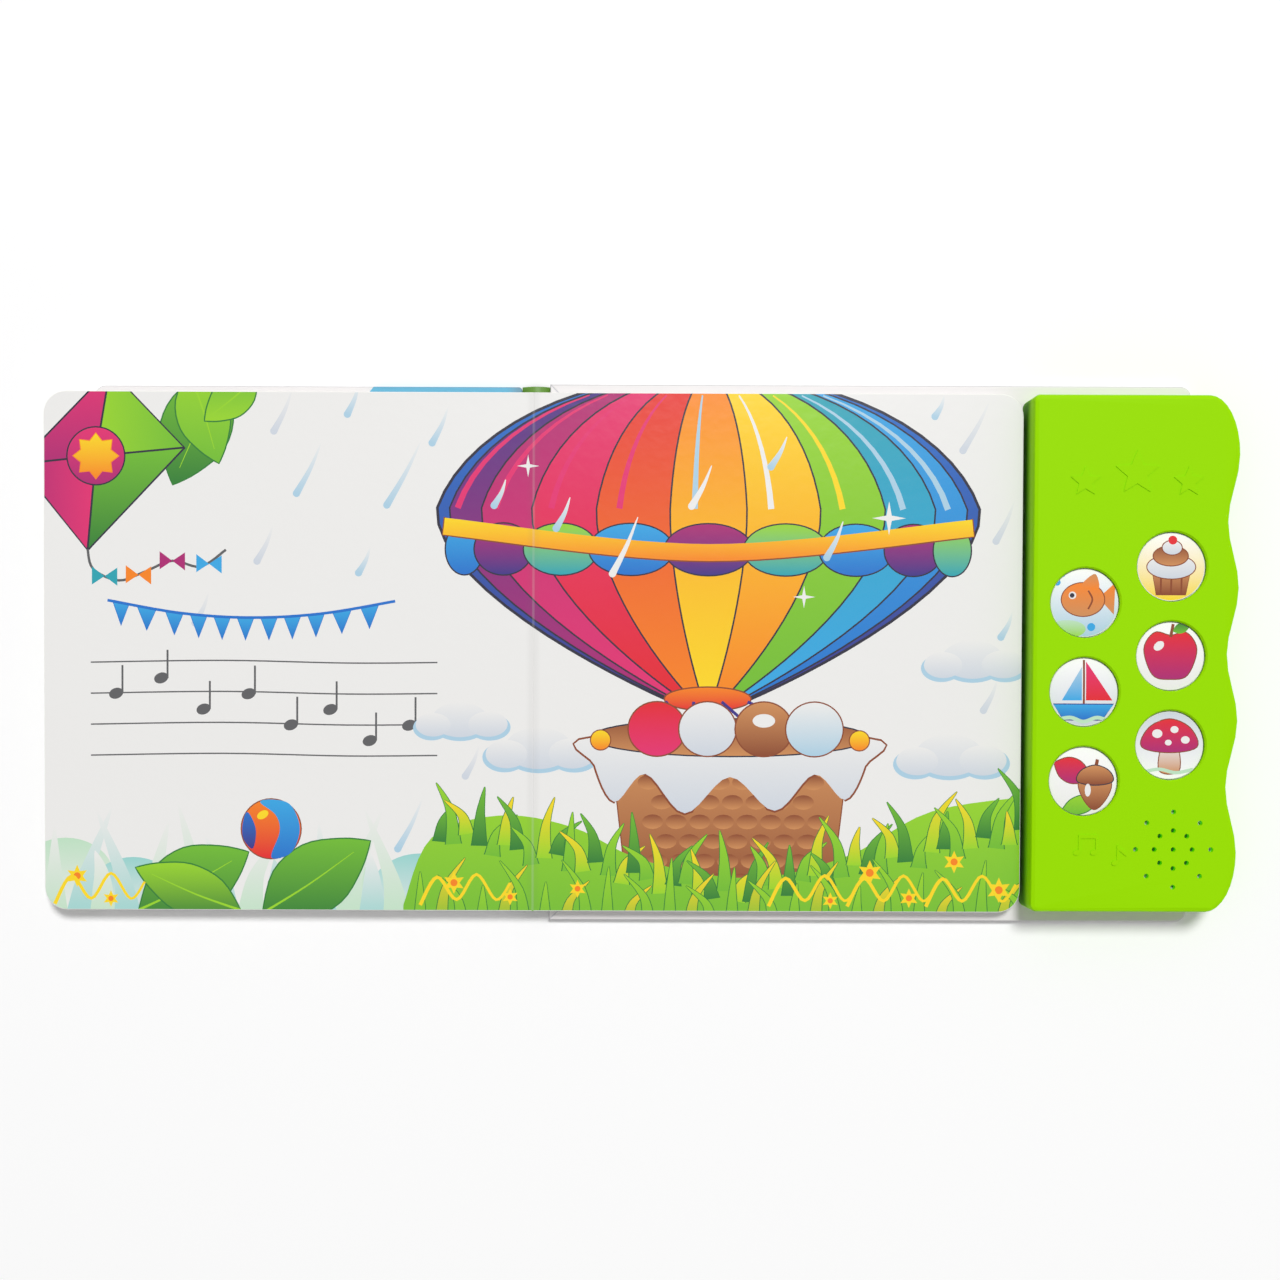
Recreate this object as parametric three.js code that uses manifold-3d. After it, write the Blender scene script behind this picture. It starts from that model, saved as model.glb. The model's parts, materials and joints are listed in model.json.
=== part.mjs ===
// A children's sound book: a board book lying open, with a plastic sound unit on its back cover.
// Millimetres, +Z up. X runs along the open spread and Y towards the top of the pages.
// While it is built, X is measured from the gutter between the two pages. At the end everything
// is shifted so that the origin lies under the middle of the whole object.
import * as THREE from "three";
import { mergeVertices } from "three/addons/utils/BufferGeometryUtils.js";
import Module from "manifold-3d";

const wasm = await Module();
wasm.setup();

// Clearances
const seatGap = 0.3; // between neighbours that are not flat on each other
const slideGap = 0.35; // around a button that slides
const lipGap = 0.3; // between the tongue of the lower shell and the upper shell
const doorGap = 0.3; // around the battery door
const closingGap = 0.3; // between the two facing pages when the book is shut
const unitGap = 1.2; // between the page edges and the sound unit
const overshoot = 1; // past a face, so that a cut goes clean through

// Pages: each side of the gutter is one block of glued board leaves
const pageWidth = 173.5;
const pageHeight = 184;
const pageCornerRadius = 8;
const leafThickness = 1.8;
const leafCount = 3;
const leafGroove = 0.225;
const leafGrooveDepth = 0.9;
const gutterGap = 0.6;

// Cover: two boards and the spine strip between them
const boardThickness = 3;
const boardCornerRadius = 4;
const backBoardStart = 5.6;
const backBoardSquare = 4; // how far it stands out past the pages at head and foot
const frontBoardStart = 4.4;
const frontBoardSquare = 2;
const frontBoardRise = 1;
const pageOverhang = 16.2; // how far the left pages stand out past the front board
const spineThickness = 0.9;
const spineArch = 1.1;
const spineLift = 0.2;
const spineInset = 0.7; // at each end of the back board

// Sound unit
const unitWidth = 72.5;
const unitEndInset = 1.5; // from the ends of the pages
const unitOverhang = 12.2; // how far its crests stand out past the back board
const unitCornerRadius = 2.5;
const shoulderWidth = 10.7;
const shoulderLength = 20.75;
const waveTroughs = 3;
const waveDepth = 3.9;
const topEdgeRadius = 1.6;
const shellWall = 1.8;
const ceilingThickness = 1.8;
const floorThickness = 2;
const lowerShellHeight = 4;
const lipWall = 1;
const lipHeight = 1.5;
const postRoot = 0.5; // how deep posts and walls are sunk into the shell floor

// Buttons, their columns and rows placed by shares of the unit's width and height
const buttonColumnShare = 0.2538;
const buttonSpacingShare = 0.41655;
const buttonPitchShare = 0.17238;
const buttonMiddleShare = -0.07403;
const buttonRows = 3;
const buttonStagger = 12.7;
const windowRadius = 12.25;
const windowChamfer = 0.5;
const capRecess = 1.6;
const capThickness = 1.4;
const capWall = 1.4;
const capFlangeWidth = 1.4;
const capFlangeThickness = 2;
const plungerRadius = 2.4;
const guideWall = 1;
const guideDepth = 3;
const labelMargin = 0.3;
const labelEdge = 0.3;
const labelCrown = 0.4;

// Rubber domes under the buttons
const domeHeight = 3;
const domeBaseRadius = 5.4;
const domeTopRadius = 3.2;
const domeWall = 0.8;
const domeFlangeWidth = 1;
const domeFlangeThickness = 0.6;

// Circuit board
const boardRest = 2; // height of its posts above the shell floor
const circuitThickness = 1.2;
const circuitInset = 5.5;
const circuitRightInset = 15.5;
const batteryToCircuit = 15;
const speakerToCircuit = 15.4;
const circuitPostInset = 3.2;
const circuitPostRadius = 2.2;
const circuitPinRadius = 0.9;
const circuitPinStand = 0.7;
const chipRadius = 5;
const chipHeight = 1.8;
const chipFromLeft = 33;
const chipFromTop = 8;

// Loudspeaker and its holes
const speakerShare = 0.6883; // of the unit's width
const speakerFromBottom = 22.1;
const speakerRadius = 14.5;
const speakerRimWidth = 0.9;
const speakerRimHeight = 1.6;
const speakerRimDepth = 0.8;
const speakerDepth = 4;
const speakerBackRadius = 8.5;
const speakerSheet = 0.8;
const coneDomeRadius = 4;
const coneDip = 2.1;
const coneDomeRise = 0.9;
const coneSheet = 0.3;
const coneLip = 1;
const magnetRadius = 7;
const magnetHeight = 2.8;
const magnetPostRadius = 4;
const soundHoleRadius = 0.9;
const soundRingRadii = [6.65, 13.2];
const soundRingCount = 8;

// Batteries and their box
const cellRadius = 5.8;
const cellHeight = 5.4;
const cellCapRadius = 4.9;
const cellCapHeight = 0.5;
const cellCount = 3;
const cellPitch = 12.2;
const cellRoom = 0.4;
const batteryFromLeft = 25.3;
const batteryFromTop = 27.5;
const batteryWall = 1.2;
const contactThickness = 0.4;
const contactReach = 4.5;
const contactRoom = 1;
const terminalTab = 1.8;
const doorThickness = 1.2;
const doorLedge = 1.3;
const doorScrewReach = 8;
const doorScrewEdge = 3.9;
const doorCutMargin = 0.5;
const doorCutRadius = 1.5;

// Screws
const screwHoleGap = 0.3;
const shellScrewShank = 1.1;
const shellScrewHead = 2.5;
const shellScrewHeadHeight = 1.6;
const shellScrewLength = 8;
const bossRadius = 3.2;
const bossPostHeight = 4;
const bossInset = 7;
const bossShoulderInset = 13.2;
const bossShoulderDrop = 8.5;
const bossSideInset = 9.7;
const bossSideOffset = 2; // past the lowest recess of the wavy side
const doorScrewShank = 1.1;
const doorScrewHead = 2.4;
const doorScrewHeadHeight = 1.1;
const doorScrewLength = 5;
const doorPostRadius = 3;
const doorPostHeight = 4.4;
const slotWidth = 0.7;
const slotDepth = 0.6;
const slotReach = 0.7; // share of the head radius

// Wires
const wireRadius = 0.6;
const wireSides = 8;
const wireSteps = 12;
const wireLane = 3;
const speakerWireStart = 19;
const speakerWireTurn = Math.PI / 7;
const wireSolderInset = 2; // from the edge of the circuit board
const wireSag = 1;

// Raised figures on the lid
const reliefHeight = 0.3;
const reliefRoot = 0.4;
const notesFromLeft = 16;
const notesFromBottom = 21;
const noteHeadWidth = 2.6;
const noteHeadHeight = 1.9;
const noteStemWidth = 0.7;
const noteStemHeight = 6.2;
const noteBeamHeight = 1.3;
const noteBeamSpan = 6;
const singleNoteOffset = [13.5, -3.6];
const noteFlagReach = 2.6;
const noteHeadTilt = Math.PI / 9;
const starsFromTop = 27.5;
const starsFromLeft = 36;
const starRadius = 8;
const smallStarRadius = 5.4;
const starSpacing = 18;
const smallStarDrop = 3;
const starWaist = 0.45; // inner points as a share of the radius
const starPoints = 5;

// Fineness of round forms
const cornerSegments = 4;
const waveSteps = 8;
const windowSides = 32;
const capSides = 24;
const roundSides = 16;
const holeSides = 8;
const screwSides = 12;
const edgeSegments = 2;
const crownSteps = 2;
const chipSteps = 3;

// Sizes that follow from the pages
const backBoardHeight = pageHeight + 2 * backBoardSquare;
const frontBoardHeight = pageHeight + 2 * frontBoardSquare;
const spineHeight = backBoardHeight - 2 * spineInset;
const unitHeight = pageHeight - 2 * unitEndInset;
const wavePitch = (unitHeight - 2 * shoulderLength) / waveTroughs;

// Heights above the table
const stackThickness = leafCount * leafThickness + (leafCount - 1) * leafGroove;
const pageFace = boardThickness + stackThickness;
const lidTop = 2 * boardThickness + 2 * stackThickness + closingGap;
const ceiling = lidTop - ceilingThickness;
const shellBase = boardThickness;
const shellFloor = shellBase + floorThickness;
const partingLine = shellBase + lowerShellHeight;
const capTop = lidTop - capRecess;
const circuitUnderside = shellFloor + boardRest;
const circuitFace = circuitUnderside + circuitThickness;
const domeTop = circuitFace + domeHeight;
const doorFace = shellBase + doorThickness;
const cellFoot = doorFace + contactThickness + seatGap;
const batteryWallTop = cellFoot + cellHeight + seatGap;
const magnetFoot = ceiling - speakerDepth - magnetHeight;
const bossMeeting = shellFloor + bossPostHeight;

// Places, measured from the gutter
const unitLeft = pageWidth + unitGap;
const unitRight = unitLeft + unitWidth;
const unitEnd = unitHeight / 2;
const crestReach = (waveTroughs * wavePitch) / 2;
const speakerX = unitLeft + speakerShare * unitWidth;
const speakerY = speakerFromBottom - unitEnd;
const batteryX = unitLeft + batteryFromLeft;
const batteryY = unitEnd - batteryFromTop;
const circuitLeft = unitLeft + circuitInset;
const circuitRight = unitRight - circuitRightInset;
const circuitTop = batteryY - batteryToCircuit;
const circuitBottom = speakerY + speakerToCircuit;
const capRadius = windowRadius - slideGap;
const capFlangeRadius = capRadius + capFlangeWidth;
const guideRadius = capFlangeRadius + slideGap;
const cellRun = (cellCount - 1) * cellPitch;
const boxLeft = batteryX - cellRun / 2 - cellRadius - cellRoom;
const boxRight = batteryX + cellRun / 2 + cellRadius + contactRoom;
const boxReach = cellRadius + cellRoom;
const doorLeft = boxLeft - doorLedge;
const doorRight = boxRight + doorLedge;
const doorBottom = batteryY - boxReach - doorLedge;
const doorTop = batteryY + boxReach + doorLedge + doorScrewReach;
const doorScrewX = (doorLeft + doorRight) / 2;
const doorScrewY = doorTop - doorScrewEdge;

const buttonPitch = buttonPitchShare * unitHeight;
const buttonMiddle = buttonMiddleShare * unitHeight;
const buttonPlaces = [0, 1].flatMap((column) =>
  Array.from({ length: buttonRows }, (_, row) => ({
    x: unitLeft + (buttonColumnShare + column * buttonSpacingShare) * unitWidth,
    y: buttonMiddle + column * buttonStagger + ((buttonRows - 1) / 2 - row) * buttonPitch,
  })),
);

const bossPlaces = [
  { x: unitLeft + bossInset, y: unitEnd - bossInset },
  { x: unitRight - bossShoulderInset, y: unitEnd - bossShoulderDrop },
  { x: unitLeft + bossInset, y: bossInset - unitEnd },
  { x: unitRight - bossSideInset, y: -wavePitch - bossSideOffset },
];

const circuitPosts = [circuitLeft + circuitPostInset, circuitRight - circuitPostInset].flatMap((x) =>
  [circuitBottom + circuitPostInset, circuitTop - circuitPostInset].map((y) => ({ x, y })),
);

// Finishes
function finish(color, roughness, metalness = 0) {
  return new THREE.MeshStandardMaterial({ color, roughness, metalness });
}

const limePlastic = finish(0x9be100, 0.35);
const whitePlastic = finish(0xf4f2ec, 0.4);
const printedCard = finish(0xe8c860, 0.3);
const rubberPad = finish(0xb9bcc0, 0.8);
const circuitGreen = finish(0x1f6b3a, 0.5);
const chipBlack = finish(0x151515, 0.3);
const steel = finish(0xb8bcc2, 0.35, 0.9);
const magnetDark = finish(0x5a5d62, 0.5, 0.7);
const conePaper = finish(0x2b2b2e, 0.8);
const contactBrass = finish(0xc9b27a, 0.35, 0.9);
const redWire = finish(0xb8201c, 0.5);
const blackWire = finish(0x1a1a1a, 0.5);
const coverWhite = finish(0xf0f0ee, 0.45);
const spineGreen = finish(0x5f8f2c, 0.5);
const pageWhite = finish(0xececea, 0.35);

// A closed mesh as a solid for cutting and joining: vertices merged, collapsed faces dropped
function toSolid(shape) {
  if (!(shape instanceof THREE.BufferGeometry)) {
    return shape;
  }
  const bare = shape.clone();
  bare.deleteAttribute("normal");
  bare.deleteAttribute("uv");
  const merged = mergeVertices(bare, 1e-4);
  const corners = Array.from(merged.index.array);
  const kept = [];
  for (let i = 0; i < corners.length; i += 3) {
    const [a, b, c] = corners.slice(i, i + 3);
    if (a !== b && b !== c && c !== a) {
      kept.push(a, b, c);
    }
  }
  const vertProperties = Float32Array.from(merged.attributes.position.array);
  const triVerts = Uint32Array.from(kept);
  return new wasm.Manifold(new wasm.Mesh({ numProp: 3, vertProperties, triVerts }));
}

function toGeometry(solid) {
  const { vertProperties, triVerts } = solid.getMesh();
  const geometry = new THREE.BufferGeometry();
  geometry.setAttribute("position", new THREE.BufferAttribute(vertProperties, 3));
  geometry.setIndex(new THREE.BufferAttribute(triVerts, 1));
  return geometry;
}

function join(...shapes) {
  return shapes.map(toSolid).reduce((whole, next) => whole.add(next));
}

function cut(body, ...tools) {
  return tools.map(toSolid).reduce((rest, tool) => rest.subtract(tool), toSolid(body));
}

// Basic forms, each between two heights
function slab(outline, low, high) {
  const options = { depth: high - low, bevelEnabled: false, curveSegments: cornerSegments };
  return new THREE.ExtrudeGeometry(outline, options).translate(0, 0, low);
}

function block(left, right, bottom, top, low, high) {
  const box = new THREE.BoxGeometry(right - left, top - bottom, high - low);
  return box.translate((left + right) / 2, (bottom + top) / 2, (low + high) / 2);
}

function rod(place, radius, low, high, sides = roundSides, topRadius = radius) {
  const cylinder = new THREE.CylinderGeometry(topRadius, radius, high - low, sides);
  return cylinder.rotateX(Math.PI / 2).translate(place.x, place.y, (low + high) / 2);
}

function turned(profile, sides = roundSides) {
  const points = profile.map(([radius, height]) => new THREE.Vector2(radius, height));
  return new THREE.LatheGeometry(points, sides).rotateX(Math.PI / 2);
}

function roundedRectangle(left, right, bottom, top, leftRadius, rightRadius) {
  const outline = new THREE.Shape();
  outline.moveTo(left + leftRadius, bottom);
  outline.lineTo(right - rightRadius, bottom);
  if (rightRadius > 0) {
    outline.absarc(right - rightRadius, bottom + rightRadius, rightRadius, -Math.PI / 2, 0);
  }
  outline.lineTo(right, top - rightRadius);
  if (rightRadius > 0) {
    outline.absarc(right - rightRadius, top - rightRadius, rightRadius, 0, Math.PI / 2);
  }
  outline.lineTo(left + leftRadius, top);
  if (leftRadius > 0) {
    outline.absarc(left + leftRadius, top - leftRadius, leftRadius, Math.PI / 2, Math.PI);
  }
  outline.lineTo(left, bottom + leftRadius);
  if (leftRadius > 0) {
    outline.absarc(left + leftRadius, bottom + leftRadius, leftRadius, Math.PI, 1.5 * Math.PI);
  }
  return outline;
}

// Pages and covers, the right side drawn and the left side mirrored by its own limits
function pageOutline(side, inset) {
  const half = pageHeight / 2 - inset;
  const radius = pageCornerRadius - inset;
  const inner = gutterGap / 2;
  const outer = pageWidth - inset;
  if (side > 0) {
    return roundedRectangle(inner, outer, -half, half, 0, radius);
  }
  return roundedRectangle(-outer, -inner, -half, half, radius, 0);
}

function pageStack(side) {
  const leafPitch = leafThickness + leafGroove;
  const leaves = [];
  for (let leaf = 0; leaf < leafCount; leaf += 1) {
    const low = boardThickness + leaf * leafPitch;
    leaves.push(slab(pageOutline(side, 0), low, low + leafThickness));
  }
  const core = slab(pageOutline(side, leafGrooveDepth), boardThickness, pageFace);
  return join(core, ...leaves);
}

function backBoard() {
  const half = backBoardHeight / 2;
  const end = unitRight - unitOverhang;
  const outline = roundedRectangle(backBoardStart, end, -half, half, 0, boardCornerRadius);
  const doorway = roundedRectangle(
    doorLeft - doorCutMargin,
    doorRight + doorCutMargin,
    doorBottom - doorCutMargin,
    doorTop + doorCutMargin,
    doorCutRadius,
    doorCutRadius,
  );
  return cut(slab(outline, 0, boardThickness), slab(doorway, -overshoot, boardThickness + overshoot));
}

function frontBoard() {
  const low = frontBoardRise - frontBoardHeight / 2;
  const end = pageOverhang - pageWidth;
  const outline = roundedRectangle(
    end,
    -frontBoardStart,
    low,
    low + frontBoardHeight,
    boardCornerRadius,
    0,
  );
  return slab(outline, 0, boardThickness);
}

// The spine strip arches up a little between the boards. Its section lies across the gutter.
function spineStrip() {
  const start = seatGap - frontBoardStart;
  const end = backBoardStart - seatGap;
  const middle = (start + end) / 2;
  const section = new THREE.Shape();
  section.moveTo(start, spineLift);
  section.quadraticCurveTo(middle, spineLift + 2 * spineArch, end, spineLift);
  section.lineTo(end, spineLift + spineThickness);
  const upper = spineLift + spineThickness;
  section.quadraticCurveTo(middle, upper + 2 * spineArch, start, upper);
  const options = { depth: spineHeight, bevelEnabled: false, curveSegments: cornerSegments };
  const strip = new THREE.ExtrudeGeometry(section, options);
  return strip.rotateX(Math.PI / 2).translate(0, spineHeight / 2, 0);
}

// Outline of the sound unit, drawn in by an inset: square at the left, wavy at the right
function waveEdge(y) {
  const turn = (2 * Math.PI * (y - crestReach)) / wavePitch;
  return unitRight - (waveDepth * (1 - Math.cos(turn))) / 2;
}

function unitOutline(inset) {
  const left = unitLeft + inset;
  const reach = unitEnd - inset;
  const corner = unitCornerRadius;
  const shoulder = unitRight - shoulderWidth;
  const across = shoulderWidth - inset;
  const along = reach - crestReach;
  const outline = new THREE.Shape();
  outline.moveTo(left + corner, -reach);
  outline.lineTo(shoulder, -reach);
  outline.absellipse(shoulder, -crestReach, across, along, -Math.PI / 2, 0);
  const steps = waveTroughs * waveSteps;
  for (let step = 1; step <= steps; step += 1) {
    const y = -crestReach + (step * wavePitch) / waveSteps;
    outline.lineTo(waveEdge(y) - inset, y);
  }
  outline.absellipse(shoulder, crestReach, across, along, 0, Math.PI / 2);
  outline.lineTo(left + corner, reach);
  outline.absarc(left + corner, reach - corner, corner, Math.PI / 2, Math.PI);
  outline.lineTo(left, corner - reach);
  outline.absarc(left + corner, corner - reach, corner, Math.PI, 1.5 * Math.PI);
  return outline;
}

// Raised figures on the lid
function relief(outline) {
  return slab(outline, lidTop - reliefRoot, lidTop + reliefHeight);
}

function noteHead(x, y) {
  const outline = new THREE.Shape();
  const across = noteHeadWidth / 2;
  const along = noteHeadHeight / 2;
  outline.absellipse(x, y, across, along, 0, 2 * Math.PI, false, noteHeadTilt);
  return outline;
}

function noteStem(x, y) {
  const right = x + noteHeadWidth / 2;
  return roundedRectangle(right - noteStemWidth, right, y, y + noteStemHeight, 0, 0);
}

function beamedNotes(x, y) {
  const left = x + noteHeadWidth / 2 - noteStemWidth;
  const right = left + noteBeamSpan + noteStemWidth;
  const high = y + noteStemHeight;
  const beam = roundedRectangle(left, right, high - noteBeamHeight, high, 0, 0);
  const pair = [x, x + noteBeamSpan];
  const parts = pair.flatMap((place) => [noteHead(place, y), noteStem(place, y)]);
  return [...parts, beam].map(relief);
}

function singleNote(x, y) {
  const stemRight = x + noteHeadWidth / 2;
  const high = y + noteStemHeight;
  const flag = new THREE.Shape();
  flag.moveTo(stemRight - noteStemWidth, high);
  flag.lineTo(stemRight - noteStemWidth, high - noteBeamHeight);
  flag.lineTo(stemRight + noteFlagReach, high - noteFlagReach - noteBeamHeight);
  flag.lineTo(stemRight + noteFlagReach, high - noteFlagReach);
  return [noteHead(x, y), noteStem(x, y), flag].map(relief);
}

function star(x, y, radius) {
  const outline = new THREE.Shape();
  for (let corner = 0; corner < 2 * starPoints; corner += 1) {
    const reach = corner % 2 === 0 ? radius : radius * starWaist;
    const turn = Math.PI / 2 + (corner * Math.PI) / starPoints;
    const point = [x + reach * Math.cos(turn), y + reach * Math.sin(turn)];
    if (corner === 0) {
      outline.moveTo(...point);
    } else {
      outline.lineTo(...point);
    }
  }
  return relief(outline);
}

function lidFigures() {
  const noteX = unitLeft + notesFromLeft;
  const noteY = notesFromBottom - unitEnd;
  const starX = unitLeft + starsFromLeft;
  const starY = unitEnd - starsFromTop;
  return [
    ...beamedNotes(noteX, noteY),
    ...singleNote(noteX + singleNoteOffset[0], noteY + singleNoteOffset[1]),
    star(starX, starY, starRadius),
    star(starX - starSpacing, starY - smallStarDrop, smallStarRadius),
    star(starX + starSpacing, starY - smallStarDrop, smallStarRadius),
  ];
}

// Upper shell: a lid with rounded top edges, windows, speaker holes, guides and screw bosses
function ringWall(place, innerRadius, low, high) {
  const outside = rod(place, innerRadius + guideWall, low, high);
  return cut(outside, rod(place, innerRadius, low - overshoot, high + overshoot));
}

function soundHoles() {
  const places = [{ x: speakerX, y: speakerY }];
  for (const radius of soundRingRadii) {
    for (let hole = 0; hole < soundRingCount; hole += 1) {
      const turn = (2 * Math.PI * hole) / soundRingCount;
      places.push({ x: speakerX + radius * Math.cos(turn), y: speakerY + radius * Math.sin(turn) });
    }
  }
  const low = ceiling - overshoot;
  const high = lidTop + overshoot;
  return places.map((place) => rod(place, soundHoleRadius, low, high, holeSides));
}

function windowCuts() {
  return buttonPlaces.flatMap((place) => [
    rod(place, windowRadius, ceiling - overshoot, lidTop + overshoot, windowSides),
    rod(
      place,
      windowRadius,
      lidTop - windowChamfer,
      lidTop + windowChamfer,
      windowSides,
      windowRadius + 2 * windowChamfer,
    ),
  ]);
}

function topShell() {
  const raised = new THREE.ExtrudeGeometry(unitOutline(0), {
    depth: lidTop - topEdgeRadius - partingLine,
    bevelEnabled: true,
    bevelThickness: topEdgeRadius,
    bevelSize: topEdgeRadius,
    bevelOffset: -topEdgeRadius,
    bevelSegments: edgeSegments,
    curveSegments: cornerSegments,
  }).translate(0, 0, partingLine);
  const below = block(
    unitLeft - overshoot,
    unitRight + overshoot,
    -unitEnd - overshoot,
    unitEnd + overshoot,
    partingLine - 2 * topEdgeRadius,
    partingLine,
  );
  const cavity = slab(unitOutline(shellWall), partingLine - overshoot, ceiling);
  const root = ceiling + ceilingThickness / 2;
  const bosses = bossPlaces.map((place) => rod(place, bossRadius, bossMeeting, root));
  const guides = buttonPlaces.map((place) =>
    ringWall(place, guideRadius, ceiling - guideDepth, root),
  );
  const speakerPlace = { x: speakerX, y: speakerY };
  const speakerGuide = ringWall(speakerPlace, speakerRadius + seatGap, ceiling - guideDepth, root);
  const lid = join(cut(raised, below, cavity), ...bosses, ...guides, speakerGuide, ...lidFigures());
  const pilotTop = shellFloor + shellScrewLength + seatGap;
  const pilots = bossPlaces.map((place) =>
    rod(place, shellScrewShank + screwHoleGap, bossMeeting - overshoot, pilotTop, holeSides),
  );
  return cut(lid, ...pilots, ...windowCuts(), ...soundHoles());
}

// Lower shell: a tray with a tongue, screw posts, circuit posts and the battery box
function batteryBox() {
  const bottom = batteryY - boxReach;
  const top = batteryY + boxReach;
  const outside = block(
    boxLeft - batteryWall,
    boxRight + batteryWall,
    bottom - batteryWall,
    top + batteryWall,
    shellFloor - postRoot,
    batteryWallTop,
  );
  const inside = block(boxLeft, boxRight, bottom, top, shellBase - overshoot, batteryWallTop + overshoot);
  return { outside, inside };
}

function bottomShell() {
  const wallInset = shellWall + lipGap + lipWall;
  const tray = cut(
    slab(unitOutline(0), shellBase, partingLine),
    slab(unitOutline(wallInset), shellFloor, partingLine + overshoot),
  );
  const tongue = cut(
    slab(unitOutline(shellWall + lipGap), partingLine - overshoot, partingLine + lipHeight),
    slab(unitOutline(wallInset), partingLine - 2 * overshoot, partingLine + lipHeight + overshoot),
  );
  const root = shellFloor - postRoot;
  const bosses = bossPlaces.map((place) => rod(place, bossRadius, root, bossMeeting));
  const posts = circuitPosts.flatMap((place) => [
    rod(place, circuitPostRadius, root, circuitUnderside, holeSides),
    rod(place, circuitPinRadius, root, circuitFace + circuitPinStand, holeSides),
  ]);
  const speakerPlace = { x: speakerX, y: speakerY };
  const magnetPost = rod(speakerPlace, magnetPostRadius, root, magnetFoot);
  const doorScrewPlace = { x: doorScrewX, y: doorScrewY };
  const doorPost = rod(doorScrewPlace, doorPostRadius, root, shellFloor + doorPostHeight);
  const box = batteryBox();
  const whole = join(tray, tongue, ...bosses, ...posts, magnetPost, doorPost, box.outside);
  const counterbores = bossPlaces.map((place) =>
    rod(place, shellScrewHead + screwHoleGap, shellBase - overshoot, shellFloor),
  );
  const shanks = bossPlaces.map((place) =>
    rod(place, shellScrewShank + screwHoleGap, shellBase - overshoot, bossMeeting + overshoot, holeSides),
  );
  const recess = block(
    doorLeft - doorGap,
    doorRight + doorGap,
    doorBottom - doorGap,
    doorTop + doorGap,
    shellBase - overshoot,
    doorFace,
  );
  const doorPilotTop = shellBase + doorScrewLength + seatGap;
  const doorPilot = rod(
    doorScrewPlace,
    doorScrewShank + screwHoleGap,
    shellBase - overshoot,
    doorPilotTop,
    holeSides,
  );
  return cut(whole, box.inside, ...counterbores, ...shanks, recess, doorPilot);
}

// A cap with a flange under the lid and a plunger over the rubber dome
function buttonCap() {
  const underside = capTop - capThickness;
  const flangeTop = ceiling - seatGap;
  const flangeFoot = flangeTop - capFlangeThickness;
  const foot = domeTop + seatGap;
  const profile = [
    [0, foot],
    [plungerRadius, foot],
    [plungerRadius, underside],
    [capRadius - capWall, underside],
    [capRadius - capWall, flangeFoot],
    [capFlangeRadius, flangeFoot],
    [capFlangeRadius, flangeTop],
    [capRadius, flangeTop],
    [capRadius, capTop],
    [0, capTop],
  ];
  return turned(profile, capSides);
}

function pictureLabel() {
  const radius = capRadius - labelMargin;
  const profile = [
    [0, capTop],
    [radius, capTop],
  ];
  for (let step = 0; step <= crownSteps; step += 1) {
    const reach = 1 - step / crownSteps;
    profile.push([radius * reach, capTop + labelEdge + labelCrown * (1 - reach * reach)]);
  }
  return turned(profile, capSides);
}

function rubberDome() {
  const innerBase = domeBaseRadius - domeWall;
  const innerTop = domeTopRadius - domeWall;
  const flange = domeBaseRadius + domeFlangeWidth;
  const flangeTop = circuitFace + domeFlangeThickness;
  return turned([
    [0, domeTop - domeWall],
    [innerTop, domeTop - domeWall],
    [innerBase, circuitFace],
    [flange, circuitFace],
    [flange, flangeTop],
    [domeBaseRadius, flangeTop],
    [domeTopRadius, domeTop],
    [0, domeTop],
  ]);
}

function circuitBoard() {
  const plate = block(
    circuitLeft,
    circuitRight,
    circuitBottom,
    circuitTop,
    circuitUnderside,
    circuitFace,
  );
  const low = circuitUnderside - overshoot;
  const high = circuitFace + overshoot;
  const holes = circuitPosts.map((place) =>
    rod(place, circuitPinRadius + seatGap, low, high, holeSides),
  );
  return cut(plate, ...holes);
}

function soundChip() {
  const profile = [[0, circuitFace]];
  for (let step = 0; step <= chipSteps; step += 1) {
    const turn = (step * Math.PI) / (2 * chipSteps);
    profile.push([chipRadius * Math.cos(turn), circuitFace + chipHeight * Math.sin(turn)]);
  }
  profile[profile.length - 1][0] = 0;
  return turned(profile);
}

// Loudspeaker: an open pressed frame, a paper cone in it and a magnet behind it
function speakerFrame() {
  const back = ceiling - speakerDepth;
  const rimFoot = ceiling - speakerRimHeight;
  const rimInner = speakerRadius - speakerRimWidth;
  const shelf = ceiling - speakerRimDepth;
  return turned([
    [0, back],
    [speakerBackRadius, back],
    [rimInner - speakerSheet, rimFoot],
    [speakerRadius, rimFoot],
    [speakerRadius, ceiling],
    [rimInner, ceiling],
    [rimInner, shelf],
    [rimInner - speakerSheet, shelf],
    [speakerBackRadius - speakerSheet, back + speakerSheet],
    [0, back + speakerSheet],
  ]);
}

function speakerCone() {
  const rim = speakerRadius - speakerRimWidth - seatGap;
  const low = ceiling - speakerRimDepth + seatGap;
  const high = low + coneSheet;
  const dip = low - coneDip;
  return turned([
    [0, dip + coneDomeRise],
    [coneDomeRadius, dip],
    [rim - coneLip, low],
    [rim, low],
    [rim, high],
    [rim - coneLip - coneSheet, high],
    [coneDomeRadius, dip + coneSheet],
    [0, dip + coneDomeRise + coneSheet],
  ]);
}

function speakerMagnet() {
  return turned([
    [0, magnetFoot],
    [magnetRadius, magnetFoot],
    [magnetRadius, magnetFoot + magnetHeight],
    [0, magnetFoot + magnetHeight],
  ]);
}

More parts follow.
